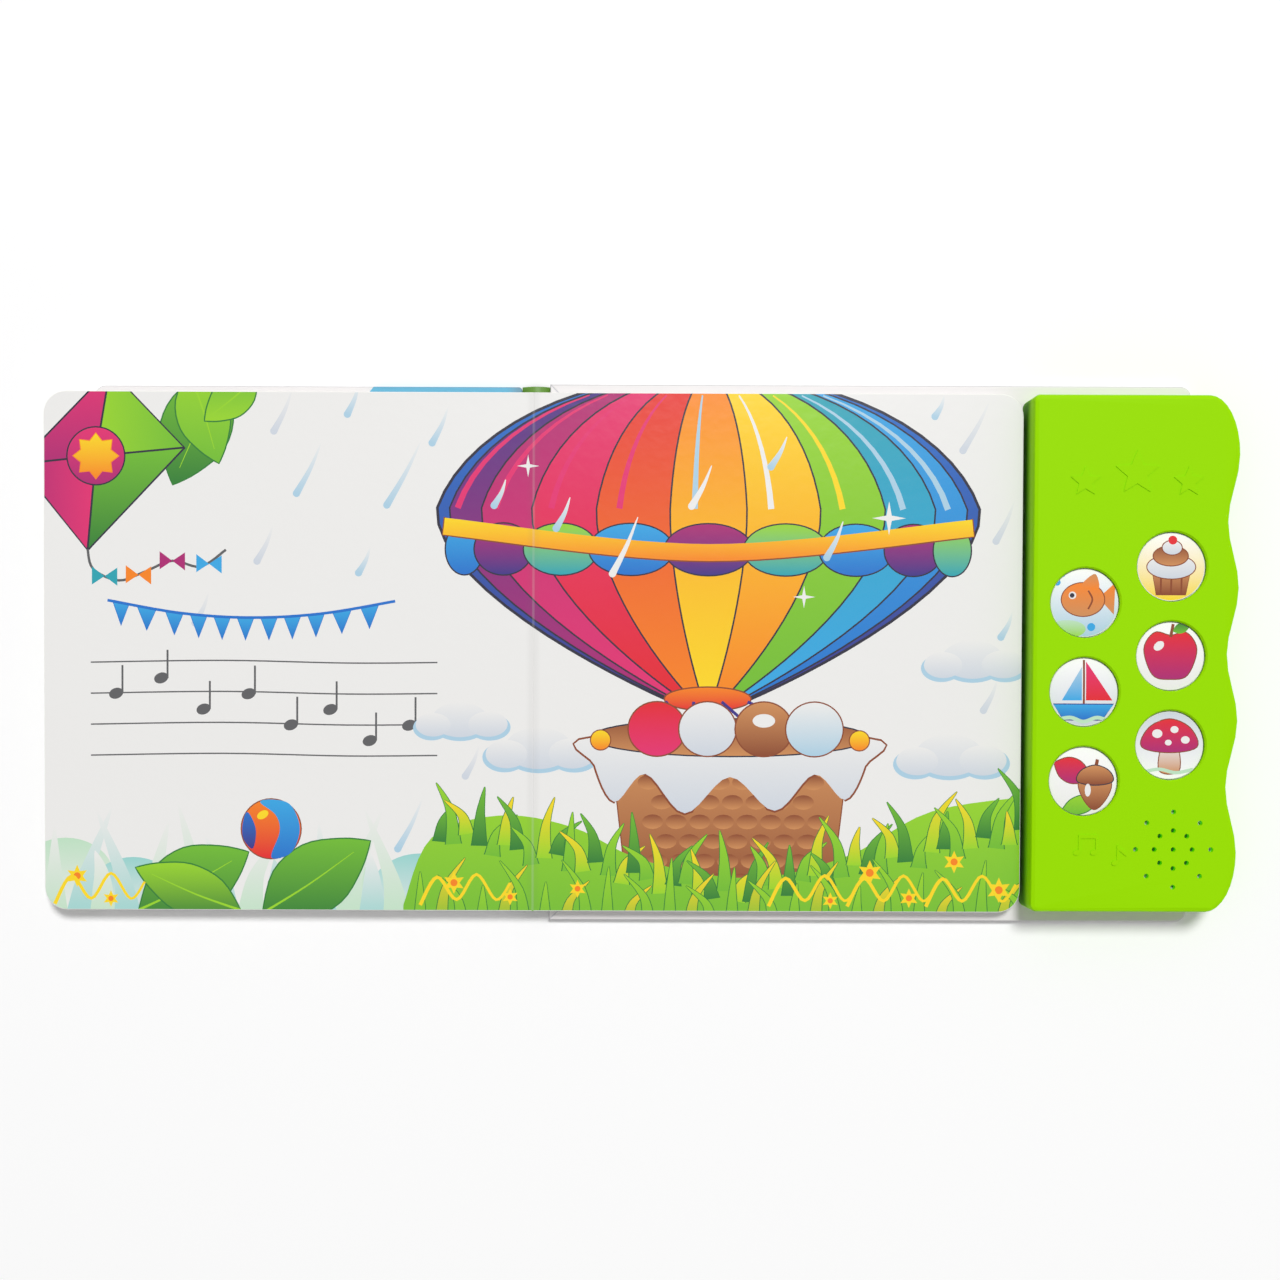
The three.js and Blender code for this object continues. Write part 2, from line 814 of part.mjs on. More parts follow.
// A button cell stands on its flat can, with the smaller cap on top
function batteryCell() {
  const canTop = cellHeight - cellCapHeight;
  return turned([
    [0, 0],
    [cellRadius, 0],
    [cellRadius, canTop],
    [cellCapRadius, canTop],
    [cellCapRadius, cellHeight],
    [0, cellHeight],
  ]);
}

function cellPlace(index) {
  return batteryX - cellRun / 2 + index * cellPitch;
}

// Contacts: a strip over the last two cells, one under the first two, and a terminal at each end
function topLink() {
  const reach = boxReach + batteryWall;
  return block(
    cellPlace(1) - contactReach,
    cellPlace(2) + contactReach,
    batteryY - reach,
    batteryY + reach,
    batteryWallTop,
    batteryWallTop + contactThickness,
  );
}

function bottomLink() {
  return block(
    cellPlace(0) - contactReach,
    cellPlace(1) + contactReach,
    batteryY - contactReach,
    batteryY + contactReach,
    doorFace,
    doorFace + contactThickness,
  );
}

function negativeTerminal() {
  const reach = boxReach + batteryWall;
  return block(
    cellPlace(0) - contactReach,
    cellPlace(0) + contactReach,
    batteryY - reach - terminalTab,
    batteryY + reach,
    batteryWallTop,
    batteryWallTop + contactThickness,
  );
}

function positiveTerminal() {
  const high = batteryWallTop + contactThickness;
  const inner = boxRight - seatGap - contactThickness;
  const leg = block(
    inner,
    inner + contactThickness,
    batteryY - contactReach,
    batteryY + contactReach,
    cellFoot,
    high,
  );
  const tab = block(
    inner,
    boxRight + batteryWall,
    batteryY - contactReach,
    batteryY + contactReach,
    batteryWallTop,
    high,
  );
  return join(leg, tab);
}

function batteryDoor() {
  const plate = block(doorLeft, doorRight, doorBottom, doorTop, shellBase, doorFace);
  const place = { x: doorScrewX, y: doorScrewY };
  const holeRadius = doorScrewShank + screwHoleGap;
  const hole = rod(place, holeRadius, shellBase - overshoot, doorFace + overshoot, holeSides);
  return cut(plate, hole);
}

// Screws point up. The head has a cross slot in its underside.
function screw(headRadius, headHeight, shankRadius, length) {
  const body = turned(
    [
      [0, -headHeight],
      [headRadius, -headHeight],
      [headRadius, 0],
      [shankRadius, 0],
      [shankRadius, length - shankRadius],
      [0, length],
    ],
    screwSides,
  );
  const reach = headRadius * slotReach;
  const half = slotWidth / 2;
  const low = -headHeight - overshoot;
  const high = -headHeight + slotDepth;
  const along = block(-reach, reach, -half, half, low, high);
  const across = block(-half, half, -reach, reach, low, high);
  return cut(body, along, across);
}

// A round wire through points that are given from the places it joins
function wire(points) {
  const section = new THREE.Shape();
  for (let side = 0; side < wireSides; side += 1) {
    const turn = (2 * Math.PI * side) / wireSides;
    const point = [wireRadius * Math.cos(turn), wireRadius * Math.sin(turn)];
    if (side === 0) {
      section.moveTo(...point);
    } else {
      section.lineTo(...point);
    }
  }
  const route = new THREE.CatmullRomCurve3(points.map((point) => new THREE.Vector3(...point)));
  const options = { steps: wireSteps, bevelEnabled: false, extrudePath: route };
  return new THREE.ExtrudeGeometry(section, options);
}

const wireOverBoard = circuitFace + seatGap + wireRadius;
const wireOverTab = batteryWallTop + contactThickness + seatGap + wireRadius;
const wireAtSpeaker = ceiling - speakerDepth - seatGap - wireRadius;
const boxFront = batteryY - boxReach - batteryWall;

// From a battery terminal down over the edge of the circuit board, leaning over by lean
function batteryWire(x, y, lean) {
  const edgeY = circuitTop + wireSolderInset;
  const dropY = (boxFront + edgeY) / 2;
  return wire([
    [x, y, wireOverTab],
    [x, boxFront - wireSag, wireOverTab + wireSag / 2],
    [x + lean / 4, dropY, wireOverTab - wireSag],
    [x + (3 * lean) / 4, edgeY, wireOverBoard + wireSag],
    [x + lean, circuitTop - wireSolderInset, wireOverBoard],
  ]);
}

// The speaker wires end beside the magnet, each at its own turn around it
function speakerWire(lane) {
  const startX = speakerX - speakerWireStart + lane * wireLane;
  const startY = circuitBottom + wireSolderInset;
  const reach = magnetRadius + seatGap + wireRadius;
  const turn = Math.PI - speakerWireTurn * lane;
  const endX = speakerX + reach * Math.cos(turn);
  const endY = speakerY + reach * Math.sin(turn);
  return wire([
    [startX, startY, wireOverBoard],
    [startX, startY - 2 * wireSolderInset, wireOverBoard],
    [startX + wireLane, startY - 4 * wireSolderInset + lane * wireSag, wireOverBoard],
    [endX - wireLane, endY + wireLane, wireOverBoard + wireSag / 2],
    [endX - wireSag, endY + wireSag / 2, wireAtSpeaker - wireSag],
    [endX, endY, wireAtSpeaker],
  ]);
}

// Assembly
const soundBook = new THREE.Group();
soundBook.position.x = (pageWidth - unitRight) / 2;

function add(name, shape, material, place = { x: 0, y: 0 }, height = 0) {
  const geometry = shape instanceof THREE.BufferGeometry ? shape : toGeometry(shape);
  const mesh = new THREE.Mesh(geometry, material);
  mesh.name = name;
  mesh.position.set(place.x, place.y, height);
  soundBook.add(mesh);
  return mesh;
}

add("back_board", backBoard(), coverWhite);
add("front_board", frontBoard(), coverWhite);
add("spine_strip", spineStrip(), spineGreen);
add("right_pages", pageStack(1), pageWhite);
add("left_pages", pageStack(-1), pageWhite);

add("top_shell", topShell(), limePlastic);
add("bottom_shell", bottomShell(), limePlastic);

const capForm = buttonCap();
const labelForm = pictureLabel();
const domeForm = rubberDome();
buttonPlaces.forEach((place, index) => {
  add(`button_${index + 1}`, capForm, whitePlastic, place);
  add(`picture_label_${index + 1}`, labelForm, printedCard, place);
  add(`rubber_dome_${index + 1}`, domeForm, rubberPad, place);
});

add("circuit_board", circuitBoard(), circuitGreen);
add("sound_chip", soundChip(), chipBlack, { x: unitLeft + chipFromLeft, y: circuitTop - chipFromTop });

const speakerPlace = { x: speakerX, y: speakerY };
add("speaker_frame", speakerFrame(), steel, speakerPlace);
add("speaker_cone", speakerCone(), conePaper, speakerPlace);
add("speaker_magnet", speakerMagnet(), magnetDark, speakerPlace);

const cellForm = batteryCell();
for (let index = 0; index < cellCount; index += 1) {
  const place = { x: cellPlace(index), y: batteryY };
  const turnedOver = index === 1;
  const foot = turnedOver ? cellFoot + cellHeight : cellFoot;
  const cell = add(`battery_cell_${index + 1}`, cellForm, steel, place, foot);
  cell.rotation.x = turnedOver ? Math.PI : 0;
}
add("battery_link_top", topLink(), contactBrass);
add("battery_link_bottom", bottomLink(), contactBrass);
add("battery_terminal_negative", negativeTerminal(), contactBrass);
add("battery_terminal_positive", positiveTerminal(), contactBrass);
add("battery_door", batteryDoor(), limePlastic);

const doorScrew = screw(doorScrewHead, doorScrewHeadHeight, doorScrewShank, doorScrewLength);
add("battery_door_screw", doorScrew, steel, { x: doorScrewX, y: doorScrewY }, shellBase);
const shellScrew = screw(shellScrewHead, shellScrewHeadHeight, shellScrewShank, shellScrewLength);
bossPlaces.forEach((place, index) => {
  add(`shell_screw_${index + 1}`, shellScrew, steel, place, shellFloor);
});

const redStart = { x: boxRight + batteryWall / 2, y: batteryY - wireSolderInset };
const blackStart = { x: cellPlace(0), y: boxFront + batteryWall / 2 };
add("battery_wire_red", batteryWire(redStart.x, redStart.y, -wireLane), redWire);
add("battery_wire_black", batteryWire(blackStart.x, blackStart.y, wireLane), blackWire);
add("speaker_wire_red", speakerWire(0), redWire);
add("speaker_wire_black", speakerWire(1), blackWire);

export default soundBook;
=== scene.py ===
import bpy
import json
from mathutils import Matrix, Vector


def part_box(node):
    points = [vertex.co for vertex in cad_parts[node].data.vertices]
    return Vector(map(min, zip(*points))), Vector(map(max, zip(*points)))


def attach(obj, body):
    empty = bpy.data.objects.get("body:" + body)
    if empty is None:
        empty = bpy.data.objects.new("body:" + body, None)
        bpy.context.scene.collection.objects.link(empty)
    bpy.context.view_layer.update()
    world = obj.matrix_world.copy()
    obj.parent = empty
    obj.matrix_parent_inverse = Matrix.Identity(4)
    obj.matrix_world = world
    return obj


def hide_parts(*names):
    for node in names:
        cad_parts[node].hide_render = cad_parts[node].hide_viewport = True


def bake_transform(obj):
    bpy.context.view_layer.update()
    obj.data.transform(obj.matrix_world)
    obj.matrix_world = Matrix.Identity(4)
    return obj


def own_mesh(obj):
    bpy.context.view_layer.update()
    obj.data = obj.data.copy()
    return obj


bl_info = {
    "name": "Sound book",
    "version": (1, 0, 0),
    "blender": (4, 5, 0),
    "location": "View3D > Sidebar > Sound book",
    "description": "Printed pages, paper covers, picture buttons and finishes of an open sound book",
    "category": "Object",
}

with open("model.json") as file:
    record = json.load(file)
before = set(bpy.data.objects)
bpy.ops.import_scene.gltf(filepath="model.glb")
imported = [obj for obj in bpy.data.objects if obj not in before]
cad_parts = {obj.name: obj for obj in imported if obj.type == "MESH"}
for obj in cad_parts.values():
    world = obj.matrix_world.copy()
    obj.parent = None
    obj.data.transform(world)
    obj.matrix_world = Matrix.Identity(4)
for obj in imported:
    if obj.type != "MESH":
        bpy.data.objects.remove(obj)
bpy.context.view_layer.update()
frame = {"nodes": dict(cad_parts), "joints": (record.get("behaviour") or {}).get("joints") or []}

import json
import math

import bpy
from bpy.props import FloatProperty, FloatVectorProperty, PointerProperty
from mathutils import Euler, Vector, geometry

MM = 0.001
# Edges that bend further than this stay sharp
BOARD_CREASE = math.radians(50)
SHELL_CREASE = math.radians(28)


def linear(level):
    """Linear light of a display level from 0 to 255."""
    level /= 255
    return level / 12.92 if level <= 0.04045 else ((level + 0.055) / 1.055) ** 2.4


def length(name, description, millimetres):
    return FloatProperty(
        name=name,
        description=description,
        default=millimetres * MM,
        subtype="DISTANCE",
        unit="LENGTH",
        precision=5,
    )


def share(name, description, value):
    return FloatProperty(
        name=name, description=description, default=value, min=0, max=1, subtype="FACTOR"
    )


def angle(name, description, degrees):
    return FloatProperty(
        name=name,
        description=description,
        default=math.radians(degrees),
        subtype="ANGLE",
        unit="ROTATION",
    )


def number(name, description, value):
    return FloatProperty(name=name, description=description, default=value)


def colour(name, description, red, green, blue):
    return FloatVectorProperty(
        name=name,
        description=description,
        default=(linear(red), linear(green), linear(blue)),
        subtype="COLOR",
        size=3,
        min=0,
        max=1,
    )


class SoundBookInks(bpy.types.PropertyGroup):
    """Inks of the printed pictures."""

    paper: colour("Paper", "Unprinted laminated board", 236, 235, 233)
    white: colour("White", "Grounds of the button pictures and the brightest spots", 252, 252, 250)
    indigo: colour("Indigo", "Dark panels and ropes", 52, 40, 130)
    blue: colour("Blue", "Strong blue panels", 20, 110, 200)
    sky: colour("Sky", "Light blue panels", 50, 165, 225)
    teal: colour("Teal", "Blue-green panels", 30, 160, 175)
    lime: colour("Lime", "Yellow-green panels", 150, 210, 30)
    green: colour("Green", "Grass", 110, 185, 40)
    leaf: colour("Leaf", "Dark leaves", 35, 120, 40)
    yellow: colour("Yellow", "Yellow panels and ornaments", 250, 215, 20)
    orange: colour("Orange", "Orange panels", 245, 130, 15)
    red: colour("Red", "Red panels", 225, 25, 35)
    pink: colour("Pink", "Pink panels", 225, 40, 110)
    magenta: colour("Magenta", "Purple-pink panels", 170, 25, 110)
    brown: colour("Brown", "Wicker", 135, 65, 30)
    tan: colour("Tan", "Light wicker", 205, 140, 85)
    ash: colour("Ash", "Thin grey lines", 90, 90, 92)
    mist: colour("Mist", "Pale blue trails and clouds", 170, 205, 225)
    fog: colour("Fog", "Shaded side of clouds", 205, 212, 222)
    mint: colour("Mint", "Pale far hills", 190, 225, 195)
    lagoon: colour("Lagoon", "Pale blue-green far bushes", 150, 210, 205)
    haze: colour("Haze", "Soft blue of the front cover", 94, 172, 204)
    dark: colour("Dark", "Outlines", 30, 28, 50)


class SoundBookFinishes(bpy.types.PropertyGroup):
    """Colours of everything that isn't printed, and how strong shades and light are."""

    plastic: colour("Lime plastic", "The two shells and the battery door", 153, 222, 0)
    # Painted shade in the slot beside the pages; also the colour of the painted glow in the sound holes
    slot: colour("Slot", "Shaded plastic in the narrow slot beside the pages", 6, 98, 0)
    cover: colour("Cover paper", "White paper round the cover boards", 230, 227, 227)
    # Also the grey of the leaves' glued core, painted shade in the grooves between the leaves
    lining: colour("Lining", "Inside of the back board next to the unit", 200, 200, 206)
    # Painted shade along the boards' rounded upper edges and where the front cover's paper bends to the
    # spine
    shaded_edge: colour("Scuffed edge", "Greyed paper along the edges of the boards", 120, 120, 124)
    spine: colour("Spine paper", "Green paper between the boards", 92, 140, 42)
    edge: colour("Leaf edges", "Cut edges of the board leaves", 243, 242, 237)
    cap: colour("Button caps", "White plastic under the labels", 244, 242, 236)
    rubber: colour("Rubber", "Silicone domes", 185, 188, 192)
    circuit: colour("Circuit board", "Green solder mask", 31, 107, 58)
    resin: colour("Resin", "Chip cover", 21, 21, 21)
    steel: colour("Steel", "Screws, cells and speaker frame", 200, 202, 206)
    magnet: colour("Magnet", "Speaker magnet", 90, 93, 98)
    cone: colour("Cone", "Clear film of the speaker cone", 176, 178, 172)
    brass: colour("Contacts", "Sprung contact strips", 201, 178, 122)
    wire_red: colour("Red wire", "Insulation of the live wires", 184, 32, 28)
    wire_black: colour("Black wire", "Insulation of the return wires", 26, 26, 26)
    floor: colour("Floor", "Plain floor under the book", 255, 255, 255)
    # How strong the painted edge shade on the boards is
    edge_shade_share: share("Scuffing", "How grey the boards' edges are", 0.6)
    # How strong the painted shade is where the front cover's paper bends to the spine
    bend_shade_share: share("Bend shade", "How grey the cover paper is where it bends to the spine", 0.45)
    # How strong the painted shade in the slot beside the pages is
    slot_share: share("Slot shade", "How dark the plastic is in the slot beside the pages", 0.8)
    # How strong the painted highlight along the fold in the print is
    fold_highlight_share: share("Rubbed fold", "How pale the print is along the fold", 0.12)
    # How strong the painted shade beside the fold in the print is
    fold_share: share("Fold shade", "How grey the print is beside the fold", 0.07)
    # Strength of the painted glow in the sound holes
    painted_glow: number("Glow", "Strength of the light that comes through the plastic", 1.4)


class SoundBookSizes(bpy.types.PropertyGroup):
    """Sizes of the pieces and of the stage."""

    gutter: length("Gutter", "Place of the fold between the pages along X", -36.85)
    print_lift: length("Print lift", "Height of the printed sheets above the board", 0.04)
    page_gap: length("Page gap", "From the gutter to each printed sheet", 0.3)
    page_corner: length("Page corner", "Corner radius of the pages", 8)
    leaf_groove: length("Leaf groove", "Gap between the edges of two leaves", 0.225)
    leaf_rounding: length("Leaf rounding", "Softness of the cut edges of a leaf", 0.25)
    board_corner: length("Board corner", "Corner radius of the cover boards", 4)
    board_rounding: length("Board rounding", "Softness of the wrapped board edges", 0.6)
    doorway_margin: length("Doorway margin", "Gap between the battery door and the board's opening", 0.5)
    turn_in_width: length("Turn-in width", "Width of the paper folded over each board's edge", 14)
    gutter_dip: length("Gutter dip", "Depth of the crease in the gutter", 0.12)
    spine_height: length("Spine height", "Height of the spine paper's arch", 1.6)
    paper_lift: length("Paper lift", "Height of the spine paper at the boards", 0.5)
    turn_in_start: length("Turn-in start", "Where the blue cover paper starts along X", -96.8)
    turn_in_level: length("Turn-in level", "Level along Y at which its start is measured", 92)
    turn_in_slant: length("Turn-in slant", "How far its start leans over in 10 mm", 8)
    paper_thickness: length("Paper thickness", "How far turned-in paper stands above a board", 0.12)
    label_rim: length("Label rim", "White margin round each button picture", 0.2)
    label_reach: length("Label reach", "How far each picture reaches over its label's edge", 0.25)
    relief: length("Relief", "Height of the stars and notes moulded on the unit", 0.3)
    label_crown: length("Label crown", "How far the middle of each button picture bulges", 0.4)
    # Reach of the painted glow round the speaker's middle
    painted_glow_reach: length("Glow reach", "Round the speaker's middle, where light comes through", 15)
    # The core stands for the glue between the leaves; its grey is painted shade in the grooves
    leaf_core: length("Leaf core", "How far the glued core stands back from the leaves' edges", 0.9)
    # How far up the painted shade in the slot reaches
    slot_depth: length("Slot depth", "How far the shade in the slot beside the pages reaches up", 7)
    spine_end: length("Spine end", "How far the spine paper stops short of its lower end", 3.4)
    # Height of the painted edge shade on the boards
    shaded_edge: length("Scuffed edge", "Height of the greyed edge of the boards", 0.25)
    grain: length("Grain", "Size of the plastic's fine texture", 0.6)
    camera_x: length("Camera X", "Place of the camera along X", -15.37)
    camera_y: length("Camera Y", "Place of the camera along Y", -12.5)
    camera_z: length("Camera height", "Height of the camera above the floor", 562.5)
    camera_pitch: angle("Camera pitch", "Turn of the camera about X", -1.086)
    camera_roll: angle("Camera roll", "Turn of the camera about Y", -0.09)
    camera_turn: angle("Camera turn", "Turn of the camera about Z", 0.203)
    lens: number("Lens", "Focal length on a 36 mm sensor", 43.84)
    shift_x: number("Shift X", "Sideways shift of the lens", 0.0343)
    shift_y: number("Shift Y", "Upward shift of the lens", 0.0605)
    light_distance: length("Light distance", "From the middle of the book to the main light", 5000)
    light_size: length("Light size", "Width of the main light", 1300)
    light_height: angle("Light height", "Elevation of the main light", 63)
    light_turn: angle("Light turn", "Direction of the main light, from +X", 76)
    light_share: share("Light share", "Share of the light that comes from the main light", 0.6)
    floor_reach: length("Floor reach", "From the middle of the floor to its sides", 9000)
    floor_drop: length("Floor drop", "How far the floor lies under the book", 0.2)
    floor_shaded: length("Shaded floor", "Round the middle, where the floor shows its shadows", 280)
    floor_white: length("White floor", "From the middle to where the floor is plain white", 800)


class Value:
    """A shader socket in a sum. Each operation adds one Math node."""

    def __init__(self, tree, socket):
        self.tree = tree
        self.socket = socket

    def maths(self, operation, *terms):
        node = self.tree.nodes.new("ShaderNodeMath")
        node.operation = operation
        for slot, term in zip(node.inputs, terms):
            if isinstance(term, Value):
                self.tree.links.new(term.socket, slot)
            else:
                slot.default_value = term
        return Value(self.tree, node.outputs[0])

    def __add__(self, other):
        return self.maths("ADD", self, other)

    def __radd__(self, other):
        return self.maths("ADD", other, self)

    def __sub__(self, other):
        return self.maths("SUBTRACT", self, other)

    def __rsub__(self, other):
        return self.maths("SUBTRACT", other, self)

    def __mul__(self, other):
        return self.maths("MULTIPLY", self, other)

    def __rmul__(self, other):
        return self.maths("MULTIPLY", other, self)

    def __truediv__(self, other):
        return self.maths("DIVIDE", self, other)

    def __rtruediv__(self, other):
        return self.maths("DIVIDE", other, self)

    def size(self):
        return self.maths("ABSOLUTE", self)

    def least(self, other):
        return self.maths("MINIMUM", self, other)

    def most(self, other):
        return self.maths("MAXIMUM", self, other)

    def fade(self, start, end):
        """0 at start, 1 at end, smooth between."""
        part = (self - start) / (end - start)
        part = part.least(1.0).most(0.0)
        return part * part * (3 - 2 * part)


class Finish:
    """A material whose shader takes constants or sockets."""

    def __init__(self, name):
        self.material = bpy.data.materials.new(name)
        self.material.use_nodes = True
        self.tree = self.material.node_tree
        self.shader = self.tree.nodes["Principled BSDF"]

    def node(self, kind, settings, **inputs):
        """Adds a node: settings first, then values or links by an input's name, or i and its number."""
        node = self.tree.nodes.new(kind)
        for key, value in settings.items():
            setattr(node, key, value)
        for key, value in inputs.items():
            numbered = key[0] == "i" and key[1:].isdigit()
            self.feed(node.inputs[int(key[1:]) if numbered else key.replace("_", " ")], value)
        return node

    def feed(self, slot, value):
        if isinstance(value, Value):
            self.tree.links.new(value.socket, slot)
        elif isinstance(value, bpy.types.NodeSocket):
            self.tree.links.new(value, slot)
        else:
            slot.default_value = value

    def value(self, socket):
        return Value(self.tree, socket)

    def point(self):
        """The point in the object's own coordinates, whole and as X, Y and Z."""
        place = self.node("ShaderNodeTexCoord", {}).outputs["Object"]
        parts = self.node("ShaderNodeSeparateXYZ", {}, Vector=place).outputs
        return place, *(self.value(part) for part in parts)

    def noise(self, place, scale, detail=2.0):
        node = self.node("ShaderNodeTexNoise", {}, Vector=place, Scale=scale, Detail=detail)
        return self.value(node.outputs["Fac"])

    def mix(self, factor, first, second):
        """A colour between first and second."""
        node = self.node("ShaderNodeMix", {"data_type": "RGBA"}, i0=factor, i6=first, i7=second)
        return node.outputs[2]

    def bump(self, height, strength, distance):
        node = self.node("ShaderNodeBump", {}, Height=height, Strength=strength, Distance=distance)
        return node.outputs["Normal"]

    def set(self, **inputs):
        for key, value in inputs.items():
            self.feed(self.shader.inputs[key.replace("_", " ")], value)
        return self.material


def rgba(values):
    return (*values, 1.0)


# Drawing: outlines are lists of points in millimetres
def turned(x, y, u, v, lean):
    """The point (u, v) turned by lean about the origin, then moved by (x, y)."""
    return (
        x + u * math.cos(lean) - v * math.sin(lean),
        y + u * math.sin(lean) + v * math.cos(lean),
    )


def oval(x, y, across, along=None, turn=0.0, sides=40):
    along = across if along is None else along
    phases = [2 * math.pi * side / sides for side in range(sides)]
    return [
        turned(x, y, across * math.cos(phase), along * math.sin(phase), math.radians(turn))
        for phase in phases
    ]


def curve(points, closed=True, steps=6):
    """A smooth line through points."""
    count = len(points)
    made = []
    for span in range(count if closed else count - 1):
        near = range(span - 1, span + 3)
        if closed:
            a, b, c, d = (Vector(points[k % count]) for k in near)
        else:
            a, b, c, d = (Vector(points[min(max(k, 0), count - 1)]) for k in near)
        for step in range(steps):
            t = step / steps
            point = 2 * b + (c - a) * t + (2 * a - 5 * b + 4 * c - d) * t * t
            point += (3 * b - a - 3 * c + d) * t ** 3
            made.append(tuple(0.5 * point))
    if not closed:
        made.append(tuple(points[-1]))
    return made


def stroke(points, start, end=None, steps=6):
    """A line of changing width along a smooth route."""
    end = start if end is None else end
    route = [Vector(point) for point in curve(points, False, steps)]
    left, right = [], []
    for index, point in enumerate(route):
        along = (route[min(index + 1, len(route) - 1)] - route[max(index - 1, 0)]).normalized()
        side = Vector((-along.y, along.x))
        half = (start + (end - start) * index / (len(route) - 1)) / 2
        left.append(tuple(point + side * half))
        right.append(tuple(point - side * half))
    return left + right[::-1]


def leaf(x, y, reach, width, turn):
    """A pointed leaf from (x, y)."""
    profile = [(0, 0), (0.25, 0.42), (0.55, 0.5), (0.82, 0.27), (1, 0)]
    upper = curve(profile, False, 4)
    flat = upper + [(u, -v) for u, v in upper[-2:0:-1]]
    return [turned(x, y, reach * u, width * v, math.radians(turn)) for u, v in flat]


def star(x, y, radius, points=5, waist=0.45, turn=90):
    made = []
    for corner in range(2 * points):
        reach = radius if corner % 2 == 0 else radius * waist
        phase = math.radians(turn) + corner * math.pi / points
        made.append((x + reach * math.cos(phase), y + reach * math.sin(phase)))
    return made


def cloud(x, y, size):
    return [
        oval(x, y, 1.0 * size, 0.62 * size),
        oval(x - 0.95 * size, y - 0.18 * size, 0.62 * size, 0.42 * size),
        oval(x + 1.0 * size, y - 0.15 * size, 0.7 * size, 0.45 * size),
    ]


def doubled_area(outline):
    """Twice the area of an outline, below 0 if it runs clockwise."""
    pairs = zip(outline, outline[1:] + outline[:1])
    return sum(x * v - u * y for (x, y), (u, v) in pairs)


class Picture:
    """Flat outlines in ink, later ones on top. An ink can run into a second one across the outline."""

    def __init__(self, inks, scale=1.0, origin=(0, 0), line="dark", width=0.5):
        self.inks = inks
        self.scale = scale
        self.origin = origin
        self.line = line
        self.width = width
        self.outlines = []

    def add(self, outline, ink, far=None, direction=(0, -1)):
        left, foot = self.origin
        outline = [(left + x * self.scale, foot + y * self.scale) for x, y in outline]
        aim = Vector(direction).normalized()
        reach = [Vector(point).dot(aim) for point in outline]
        self.outlines.append((outline, ink, far or ink, aim, min(reach), max(reach)))

    def divide(self, outline, ink):
        """An outline under the others, in the sheet's own ink, so that the sheet can bend there."""
        self.outlines.insert(0, (outline, ink, ink, Vector((0, 1)), 0, 1))

    def lined(self, outline, ink, far=None, line=None, width=None, direction=(0, -1)):
        """An outline with a thin darker line round it."""
        route = [Vector(point) for point in outline]
        centre = sum(route, Vector((0, 0))) / len(route)
        wide = []
        for index, point in enumerate(route):
            along = route[(index + 1) % len(route)] - route[index - 1]
            side = Vector((along.y, -along.x))
            if side.length > 0:
                side.normalize()
            if side.dot(point - centre) < 0:
                side = -side
            wide.append(tuple(point + side * (width or self.width)))
        self.add(wide, line or self.line)
        self.add(outline, ink, far, direction)

    def partition(self, border):
        """Corners, triangles and the topmost outline of each triangle inside border."""
        corners, loops = [], []
        for outline in [border] + [item[0] for item in self.outlines]:
            if doubled_area(outline) < 0:
                outline = outline[::-1]
            loops.append(list(range(len(corners), len(corners) + len(outline))))
            corners.extend(Vector(point) for point in outline)
        inside_only, merge = 1, 1e-4
        made = geometry.delaunay_2d_cdt(corners, [], loops, inside_only, merge)
        points, _, faces, _, _, owners = made
        kept = [(face, max(owner) - 1) for face, owner in zip(faces, owners) if 0 in owner]
        used = sorted({corner for face, _ in kept for corner in face})
        place = {corner: index for index, corner in enumerate(used)}
        kept = [([place[corner] for corner in face], top) for face, top in kept]
        return [points[corner] for corner in used], kept


def mesh_piece(name, corners, faces, body, material):
    """A smooth mesh in metres in the frame, riding on a body if one is given."""
    data = bpy.data.meshes.new(name)
    data.from_pydata([tuple(corner) for corner in corners], [], faces)
    data.update()
    piece = bpy.data.objects.new(name, data)
    bpy.context.scene.collection.objects.link(piece)
    data.polygons.foreach_set("use_smooth", [True] * len(data.polygons))
    data.materials.append(material)
    if body:
        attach(piece, body)
    return piece


def printed_sheet(name, picture, border, body, material, lift, shift, down=False):
    """The part of a picture inside border as a mesh, at height lift(x, y) and moved by shift."""
    points, kept = picture.partition(border)
    corners = [(x * MM + shift[0], y * MM + shift[1], lift(x, y)) for x, y in points]
    faces = []
    for face, _ in kept:
        a, b, c = (points[corner] for corner in face)
        upward = (b[0] - a[0]) * (c[1] - a[1]) - (b[1] - a[1]) * (c[0] - a[0]) > 0
        faces.append(list(face) if upward != down else list(face)[::-1])
    piece = mesh_piece(name, corners, faces, None, material)
    data = piece.data
    near = data.attributes.new("ink", "FLOAT_COLOR", "FACE")
    far = data.attributes.new("ink_far", "FLOAT_COLOR", "FACE")
    run = data.attributes.new("ink_run", "FLOAT_VECTOR", "FACE")
    for index, (_, owner) in enumerate(kept):
        if owner < 0:
            ink, second, aim, start, end = "paper", "paper", Vector((0, 1)), 0, 1
        else:
            _, ink, second, aim, start, end = picture.outlines[owner]
        near.data[index].color = rgba(getattr(picture.inks, ink))
        far.data[index].color = rgba(getattr(picture.inks, second))
        span = max(end - start, 0.01) * MM
        first = start * MM + aim.x * shift[0] + aim.y * shift[1]
        run.data[index].vector = (aim.x / span, aim.y / span, -first / span)
    if body:
        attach(piece, body)
    return piece


